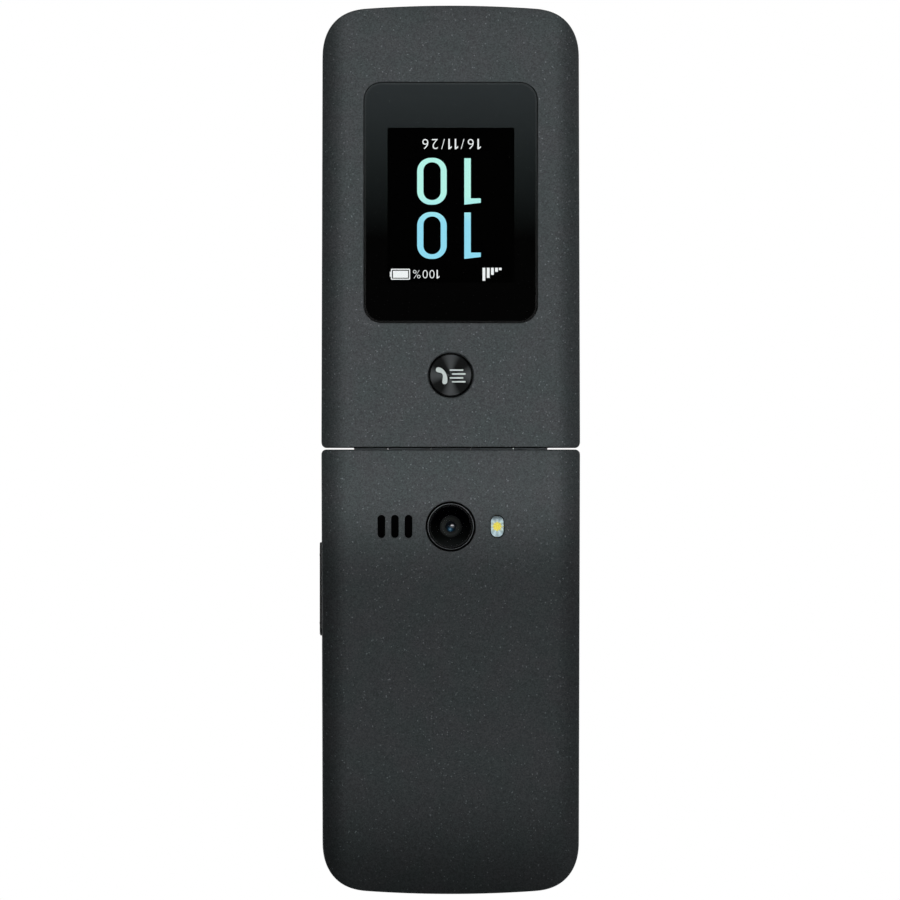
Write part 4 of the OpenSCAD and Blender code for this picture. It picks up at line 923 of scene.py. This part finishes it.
OK_LOW, OK_SEAT = 8.2, 8.85
crown = [(-CAP_ROUND - 2.4 * v, NAV_TOP + 0.05 * (1 - np.cos(np.pi * v)))
    for v in np.linspace(0, 1, 8)[1:]]
piece("nav_ok_cap", shape([fill_in([stem()], OK_LOW), steps_of(stem, [(0, OK_LOW), (0, OK_SEAT)]),
    fill_in([ok_loop(), stem()], OK_SEAT),
    steps_of(ok_loop, [(0, OK_SEAT), *rounded(CAP_ROUND, NAV_TOP, -1), *crown]),
    fill_in([ok_loop(-2.6)], KEY_TOP)]), cap_finish, "nav_ok", ["nav_ok"])
piece("nav_ok_print", shape(plate([circle(0, NAV_Y, 1.35), circle(0, NAV_Y, 1.0)], *PRINT_Z)),
    white_print, "nav_ok")

# ---------------------------------------------------------------- volume key and sockets
# The volume key is a satin black rocker that stands a little out of the side. The charging port is a
# pressed steel shell with a plastic tongue, and the headset jack a moulded socket with a gold ring.

# Moulded polycarbonate with a finely eroded face: black, and too dull to glint
rocker_finish, *_ = mottled("satin_moulded_rocker", "#0d0e0f", "#131415", 0.5, scale=3.0, bump=0.2,
    Specular_IOR_Level=0.25)
rocker = [(0.4, 26.68), (0.4, 27.1), (0, 27.1), (0, 28.93), (-0.03, 29.03), (-0.1, 29.1),
    (-0.22, 29.14), (-0.5, 29.15)]
piece("volume_rocker", shape([bar(outline(20.8, 2.8, 1.4, ROCKER_Y, SIDE_Z), rocker, "x")]),
    rocker_finish, "volume_key", ["volume_key"])
nub, faces = turned([(0, 0.02), (0.5, 0.02), (0.42, 0.1), (0.2, 0.14), (0, 0.15)], n=16)
nubs = [(nub[:, [2, 1, 0]] + [29.07, ROCKER_Y + along, SIDE_Z], faces) for along in (-7.6, 7.6)]
piece("volume_dots", shape(nubs), rocker_finish, "volume_key")

port = [(0, -91.3), (0, -98.0), (-0.05, -98.14), (-0.15, -98.17), (-0.26, -98.1), (-0.3, -98.0),
    (-0.3, -91.5)]
piece("charging_port", shape([bar(port_loop, port, "y")]), steel, "base", ["usb_port"])
tongue = [(0, -91.4), (0, -96.8), (-0.06, -96.95)]
piece("port_tongue", shape([bar(outline(6.7, 0.7, 0.1, 0, PORT_Z), tongue, "y")]), speaker_plastic,
    "base")
# Gold flash over nickel: warm and bright, and hardly worn
gold, *_ = mottled("gold_plated_contact", "#c9a24a", "#dfbe6c", 0.25, 0.95)
PIN_W, PIN_T, PIN_Z = 0.26, 0.06, 0.36


def pin_section(grow=0.0):
    """One contact's section, a rectangle in the middle of the port."""
    return np.array([(1, -1), (1, 1), (-1, 1), (-1, -1)]) * [PIN_W / 2, PIN_T / 2] + [0, PORT_Z]


pin = bar(pin_section, [(0, -92.0), (0, -96.2)], "y")
pins = [(points + [x, 0, side * PIN_Z], faces) for x in np.linspace(-2.75, 2.75, 12)
    for side in (-1, 1) for points, faces in pin]
piece("port_contacts", shape(pins), gold, "base")
jack = [(1.75, -27.4), (1.95, -27.4), (1.95, -26.9), (1.75, -26.9), (1.75, -27.4)]
piece("jack_ring", shape([turned(jack, y=JACK_Y, n=48, along=SIDE_Z)]), gold, "base")

# ---------------------------------------------------------------- lid shell
# The lid's outer skin, moulded and sprayed like the rear cover. A recess takes the outer window, with
# an opening behind it for the display, and a round hole the button.

LID_LEN, LID_T = 97.7, 8.0
WINDOW_Y, WINDOW_EASE, WINDOW_LEDGE = 54.38, 0.04, 0.97
BUTTON_Y, BUTTON_EASE = 16.2, 0.3
window_loop = outline(38.6, 53.4, 4.0, 0, WINDOW_Y, 12)
view_loop = outline(33.23, 40.24, 1.0, 0, 53.3, 12)
button_loop = outline(9.9, 9.9, 4.95, 0, BUTTON_Y, 18)


def recess(loop, steps, opening, z):
    """A stepped recess: a band down its rim, across its ledge, and on through a smaller opening to
    the height z."""
    ledge = steps[-1][1]
    return band([*[at_height(loop(grow), height) for grow, height in steps],
        at_height(opening(), ledge), at_height(opening(), z)])


lid_bosses = [(side * x, y) for x, y in ((22.0, 9.2), (16.0, 94.07)) for side in (-1, 1)]
sheets = outer_shell(LID_LEN, 0.2,
    [window_loop(WINDOW_EASE + MARGIN), button_loop(BUTTON_EASE + MARGIN)],
    [view_loop(), button_loop()])
sheets.append(recess(window_loop, [*eased(WINDOW_EASE, 0, 1), (0, WINDOW_LEDGE)], view_loop, WALL))
sheets.append(steps_of(button_loop, [*eased(BUTTON_EASE, 0, 1), (0, WALL)]))
# Screw bosses on the wall's inside: up their outside, over the top and down the bore
sheets += [turned([(0, 1.1), (1.8, 1.1), (1.8, 4.3), (0.85, 4.3), (0.85, 1.4), (0, 1.4)], x, y,
    BOSS_SIDES) for x, y in lid_bosses]
piece("lid_skin", shape(sheets), paint, "lid", ["lid_shell"])

# ---------------------------------------------------------------- outer window and display
# A pane of hardened glass, flush in the shell. Ink behind it, black from the middle on and painted dark
# grey towards the far end as a painted sheen, frames a small colour display, which shows the time, the
# date and two signs.

# Clear hardened glass, polished, with the faintest smears
hard_glass, *_ = worn("hardened_window_glass", "#fbfcfc", (0.0, 0.02), 0.15, IOR=1.5,
    Transmission_Weight=1.0)


def pane(loop, z0, z1, f=0.12):
    """A sheet of glass with both edges rounded."""
    return block(loop, [(-0.5, z0), *rounded(f, z0, 1)[::-1], *rounded(f, z1, -1), (-0.5, z1)])


window_pane = piece("outer_pane", shape(pane(outline(38.3, 53.1, 3.85, 0, WINDOW_Y, 12), 0.05, 0.94)),
    hard_glass, "lid", ["outer_window"])
seal = [pad(38.57, 53.37, 3.98, 0, WINDOW_Y, n=12), pad(38.33, 53.13, 3.86, 0, WINDOW_Y, n=12)]
piece("outer_pane_seal", shape(plate(seal, 0.2, 0.9)), gasket, "lid")
# Metallic ink on the pane's back: black, painted dark grey towards the lid's far end as a painted sheen
ink, tree, shader, place = finish("screen_printed_ink", "#050505", 0.5, 1.0)
painted_sheen_fade = add(tree, "SeparateXYZ", place).outputs["Y"]
feed(shader, Base_Color=run(tree, painted_sheen_fade, 46.5, 82.0, (0, "#020202"), (0.45, "#101313"), (1, "#1e2122")))
mask = [pad(38.1, 52.9, 3.75, 0, WINDOW_Y, n=8), pad(28.1, 34.3, 0.3, -0.05, 53.85, n=4)]
piece("outer_mask", shape(plate(mask, 0.945, 0.965)), ink, "lid")
# A dark display: unlit cells 0.12 mm across, that hardly differ
panel, tree, shader, place = finish("display_panel_black", "#020202", 0.6, Specular_IOR_Level=0.0)
feed(shader, Base_Color=add(tree, "TexChecker", place, Color1=linear("#020202"),
    Color2=linear("#040404"), Scale=8.0))
dress(["outer_display", "main_display"], panel)


def lit(name, colours, strength, low=0.0, high=1.0):
    """Light from display pixels: black to reflected light, with a colour that runs through even steps
    from low to high along the lid."""
    made, tree, shader, place = finish(name, "#000000", 0.5, Specular_IOR_Level=0.0,
        Emission_Strength=strength)
    along = add(tree, "SeparateXYZ", place).outputs["Y"]
    stops = [(k / (len(colours) - 1), colour) for k, colour in enumerate(colours)]
    feed(shader, Emission_Color=run(tree, along, low, high, *stops))
    return made


clock_light = lit("display_light_clock", ["#92def4", "#b7f7ea"], 1.07, 50.0, 56.0)
plain_light = lit("display_light_white", ["#eef6f6", "#f4f8f8"], 1.05)
UNIT, X_MID, Y_MID = 0.2215, 450.7, 448.5
DISPLAY_Z = (0.972, 0.99)


def seen_at(points):
    """Places on the outer face from a drawing of it, 0.2215 mm to the unit, whose x runs to the left
    and whose y runs towards the hinge."""
    return (np.array(points, float) - [X_MID, Y_MID]) * -UNIT


def drawn_pad(x0, y0, x1, y1, r):
    """A rounded rectangle of the drawing, from corner to corner."""
    (xa, ya), (xb, yb) = seen_at([(x0, y0), (x1, y1)])
    return pad(abs(xa - xb), abs(ya - yb), r * UNIT, (xa + xb) / 2, (ya + yb) / 2, 0.0, 10)


# Places in the drawing: boxes are (x0, y0, x1, y1, corner radius)
ZERO, ZERO_HOLE = (417.2, 158.1, 446.7, 204.9, 13.4), (423.4, 162.5, 440.7, 200.3, 8.4)
ONE = [(464.3, 158.5), (470.8, 158.5), (470.8, 198.6), (480.8, 198.6), (480.8, 203.0), (464.3, 204.9)]
CLOCK_ROW = 54.2
DATE, CHARGE = seen_at([(451.2, 144.3), (425.8, 274.4)])
BATTERY_CASE, BATTERY_HOLE = (390.9, 269.0, 410.1, 279.9, 1.0), (391.9, 270.0, 409.1, 278.9, 0.5)
BATTERY_CHARGE, BATTERY_KNOB = (393.0, 271.0, 408.1, 278.0, 0.3), (389.9, 271.9, 390.8, 277.1, 0.3)
SIGNAL = ((482.5, 13.0), (486.8, 10.1), (491.0, 7.1), (495.1, 4.1), (498.8, 2.4))
SIGNAL_FOOT, SIGNAL_W = 268.0, 2.8
clock = []
for row in (0, CLOCK_ROW):
    down = np.array([0, row, 0, row, 0])
    clock += plate([drawn_pad(*ZERO + down), drawn_pad(*ZERO_HOLE + down)], *DISPLAY_Z)
    clock += plate([seen_at(ONE + down[:2])], *DISPLAY_Z)
piece("outer_clock", shape(clock), clock_light, "lid")
small = figures("16/11/26", 2.3, *DATE, *DISPLAY_Z, turn=-1, gap=1.4, weight=-0.012)
small += figures("100%", 1.9, *CHARGE, *DISPLAY_Z, turn=-1, gap=1.2, weight=-0.014)
small += plate([drawn_pad(*BATTERY_CASE), drawn_pad(*BATTERY_HOLE)], *DISPLAY_Z)
bars = [(x, SIGNAL_FOOT, x + SIGNAL_W, SIGNAL_FOOT + tall, 0.2) for x, tall in SIGNAL]
for box in (BATTERY_CHARGE, BATTERY_KNOB, *bars):
    small += plate([drawn_pad(*box)], *DISPLAY_Z)
piece("outer_signs", shape(small), plain_light, "lid")

# ---------------------------------------------------------------- lid button
# A turned aluminium disc, anodised black, with a fine spun grain, four bright wedges of painted sheen
# where the grain would catch the light, and a white printed handset with four lines of a list.

# Spun aluminium under black anodising: four bright wedges of painted sheen, fine grooves, and a rim
# darkened with painted shade
spun, tree, shader, place = finish("spun_black_aluminium", "#2a2b2c", 0.5, 0.85, Specular_IOR_Level=0.1)
centre = add(tree, "VectorMath", place, (0.0, BUTTON_Y, 0.0), operation="SUBTRACT")
split = add(tree, "SeparateXYZ", centre).outputs
wave = add(tree, "Math", split["Y"], split["X"], operation="ARCTAN2")
wave = add(tree, "Math", wave, 4.0, operation="MULTIPLY")
wave = add(tree, "Math", wave, operation="COSINE")
painted_wedge_sheen = run(tree, wave, -1, 1, (0.25, "#0b0c0c"), (1, "#323435"))
radius = add(tree, "VectorMath", centre, (1, 1, 0), operation="MULTIPLY")
radius = add(tree, "VectorMath", radius, operation="LENGTH")
# Painted shade: the colour darkens towards the disc's rim
rim = add(tree, "MapRange", radius, From_Min=4.45, From_Max=4.6, To_Min=1.0, To_Max=0.12)
painted_wedge_sheen = add(tree, "VectorMath", painted_wedge_sheen, Scale=rim, operation="SCALE")
groove = add(tree, "Math", radius, 40.0, operation="MULTIPLY")
groove = add(tree, "Math", groove, operation="SINE")
groove = add(tree, "Bump", Height=groove, Strength=0.15, Distance=0.00003)
feed(shader, Base_Color=painted_wedge_sheen, Normal=groove)
disc = turned([(0, 0.13), (4.3, 0.13), (4.5, 0.135), (4.66, 0.17), (4.74, 0.25), (4.75, 0.4),
    (4.75, 1.35), (5.65, 1.35), (5.65, 1.85), (4.75, 1.85), (4.75, 1.95), (0, 1.95)], 0, BUTTON_Y, 96)
piece("lid_button_disc", shape([disc]), spun, "lid_button", ["lid_button"])
SIGN_Z = (0.11, 0.14)
RECEIVER = [(438.3, 370.0), (446.6, 371.6), (444.7, 382.0)]
RECEIVER_W = [5.0, 4.8, 3.7, 3.4, 3.7, 4.8, 5.0]
LINES, LINE_LEN, LINE_W = ((449.6, 370.4), (451.8, 374.2), (449.6, 378.2), (451.8, 382.0)), 13.8, 1.56
sign = plate([stroke(seen_at(RECEIVER), np.array(RECEIVER_W) * UNIT)], *SIGN_Z)
for x, y in LINES:
    line = drawn_pad(x, y - LINE_W / 2, x + LINE_LEN, y + LINE_W / 2, 0.7)
    sign += plate([line], *SIGN_Z)
# Screen ink, printed and baked: flat, with a breath of green
pale_print, *_ = mottled("pale_green_printed_ink", "#c0cbc9", "#cbd6d4", 0.5, scale=6.0)
piece("lid_button_sign", shape(sign), pale_print, "lid_button")

# ---------------------------------------------------------------- lid bezel
# The lid's inner casing, of the keypad housing's material. It carries two knuckles and the main
# window, has the earpiece's slot, and four recesses for the screws under their rubber bumpers.

LEDGE_Z, MAIN_LEDGE, BEZEL_EASE, HINGE_LIP = 6.4, 7.05, 0.1, 0.2
MAIN_Y = 51.0
main_loop = outline(52.6, 73.2, 3.0, 0, MAIN_Y, 8)
main_view_loop = outline(49.6, 65.8, 1.0, 0, MAIN_Y, 8)
ear_loop = outline(9.0, 1.4, 0.69, 0, 91.77)
sheets = inner_shell(LID_LEN, LID_T, LEDGE_Z, HINGE_LIP,
    [loop(BEZEL_EASE + MARGIN) for loop in (main_loop, ear_loop)]
    + [circle(x, y, 2.45, BOSS_SIDES) for x, y in lid_bosses],
    [main_view_loop(), ear_loop()] + [circle(x, y, 2.05, BOSS_SIDES) for x, y in lid_bosses])
rim = eased(BEZEL_EASE, LID_T, -1)
sheets.append(recess(main_loop, [*rim, (0, MAIN_LEDGE)], main_view_loop, LEDGE_Z))
sheets.append(steps_of(ear_loop, [*rim, (0, LEDGE_Z)]))
# Down each bumper's recess and the screw's seat, through the hole, and up the boss's outside
sheets += [turned([(2.45, LID_T), (2.35, LID_T), (2.25, LID_T - 0.1), (2.25, 6.5), (1.6, 6.5),
    (1.6, 6.25), (1.0, 6.25), (1.0, 4.4), (1.8, 4.4), (1.8, 5.45), (2.05, 5.45), (2.05, LEDGE_Z)],
    x, y, BOSS_SIDES) for x, y in lid_bosses]
cuts = [drum(x0, x1, BARREL_R + BARREL_GAP)
    for x0, x1 in ((-21.7, -13.87), (-4.53, 4.53), (13.87, 21.7))]
bezel = carved(shape(sheets), cuts + [drum(-20.7, 20.7, BORE_R + BORE_GAP)])
bezel = carved(bezel, [knuckle(-13.85, -4.55), knuckle(4.55, 13.85)], "UNION")
piece("lid_casing", bezel, base_grain, "lid", ["lid_bezel"])
# A black strip along the lid's hinge edge, put there as painted shadow under that edge
seal = bar(outline(0.6, 0.08, 0.035, 0.32, 4.45), [(0, -21.6), (0, 21.6)], "x")
piece("lid_hinge_shadow_strip", shape([seal]), baffle, "lid")

bumper = [(0, 7.02), (2.15, 7.02), (2.2, 7.08), (2.2, 8.2), (2.12, 8.33), (1.95, 8.39), (0, 8.4)]
# Moulded rubber: black and dull, with a fine bloom
rubber, *_ = mottled("moulded_black_rubber", "#131415", "#1b1c1d", 0.75, scale=4.0, bump=0.3)
piece("lid_bumper_pads", shape([turned(bumper, x, y, 40) for x, y in lid_bosses]), rubber, "lid",
    ["lid_bumpers"])

# ---------------------------------------------------------------- main window and display
# A larger pane over the main display, whose picture is on while the phone is open: a plain graded
# ground, the time, the date, and the same two signs along its top.

main_pane = piece("main_pane", shape(pane(outline(52.4, 73.0, 2.9, 0, MAIN_Y, 8), 7.11, 7.95)),
    hard_glass, "lid", ["main_window"])
# Matt ink on the pane's back: black, with no shine of its own
black_ink, *_ = mottled("matt_black_screen_ink", "#040405", "#060607", 0.6, scale=2.0, bump=0.1,
    Specular_IOR_Level=0.1)
picture_loop = outline(48.6, 64.8, 0.3, 0, MAIN_Y, 4)
piece("main_mask", shape(plate([pad(52.2, 72.8, 2.8, 0, MAIN_Y, n=4), picture_loop()], 7.08, 7.1)),
    black_ink, "lid")
ground_light = lit("display_light_ground", ["#0c2a4a", "#16466f", "#2a6a96", "#3f7fae"], 0.9,
    18.6, 83.4)
piece("main_picture", shape(plate([picture_loop(0.2)], 6.36, 6.38)), ground_light, "lid")
MAIN_Z = (6.385, 6.4)
CLOCK_Y, CLOCK_H, SIGNS_Y = 60.0, 11.0, 80.6
BATTERY_X, BARS_X, BARS_Y = 21.2, -22.3, 79.7
# The clock's figures and colon, the battery's case and charge, the signal's bars, and three dashes
drawn = [[one(x, CLOCK_Y, CLOCK_H)] for x in (-13.3, 4.9)]
drawn += [[pad(7.0, CLOCK_H, 3.5, x, CLOCK_Y), pad(4.4, 8.4, 2.2, x, CLOCK_Y)] for x in (-6.0, 12.2)]
drawn += [[pad(1.5, 1.5, 0.75, 0, y)] for y in (57.6, 62.4)]
drawn += [[pad(3.6, 1.9, 0.2, BATTERY_X, SIGNS_Y), pad(3.2, 1.5, 0.1, BATTERY_X, SIGNS_Y)],
    [pad(2.8, 1.1, 0.05, BATTERY_X, SIGNS_Y)]]
drawn += [[pad(0.55, tall, 0.05, BARS_X + 0.85 * k, BARS_Y + tall / 2)]
    for k, tall in enumerate(0.5 + 0.45 * np.arange(5))]
drawn += [[pad(w, 0.6, 0.29, x, 21.6)] for x, w in ((-17, 7.0), (0, 3.0), (17, 7.0))]
signs = [plate(loops, *MAIN_Z) for loops in drawn]
signs += figures("16/11/26", 3.2, 0, 50.5, *MAIN_Z) + figures("100%", 2.0, 16.5, SIGNS_Y, *MAIN_Z)
piece("main_signs", shape(signs), plain_light, "lid")

# ---------------------------------------------------------------- lamps and glass
# A lamp shows as a white square in flat glass, so the clear pieces on its side take no light from it
# and let it through to what lies behind.

for name, lamps, panes in (
        ("clear_to_the_lamps_below", under_lamps, [window_pane, camera_pane, flash_pane]),
        ("clear_to_the_lamps_above", upper_lamps, [main_pane])):
    clear = bpy.data.collections.new(name)
    for thing in panes:
        clear.objects.link(thing)
    for entry in clear.collection_objects:
        entry.light_linking.link_state = "EXCLUDE"
    for lamp in lamps:
        lamp.light_linking.receiver_collection = lamp.light_linking.blocker_collection = clear
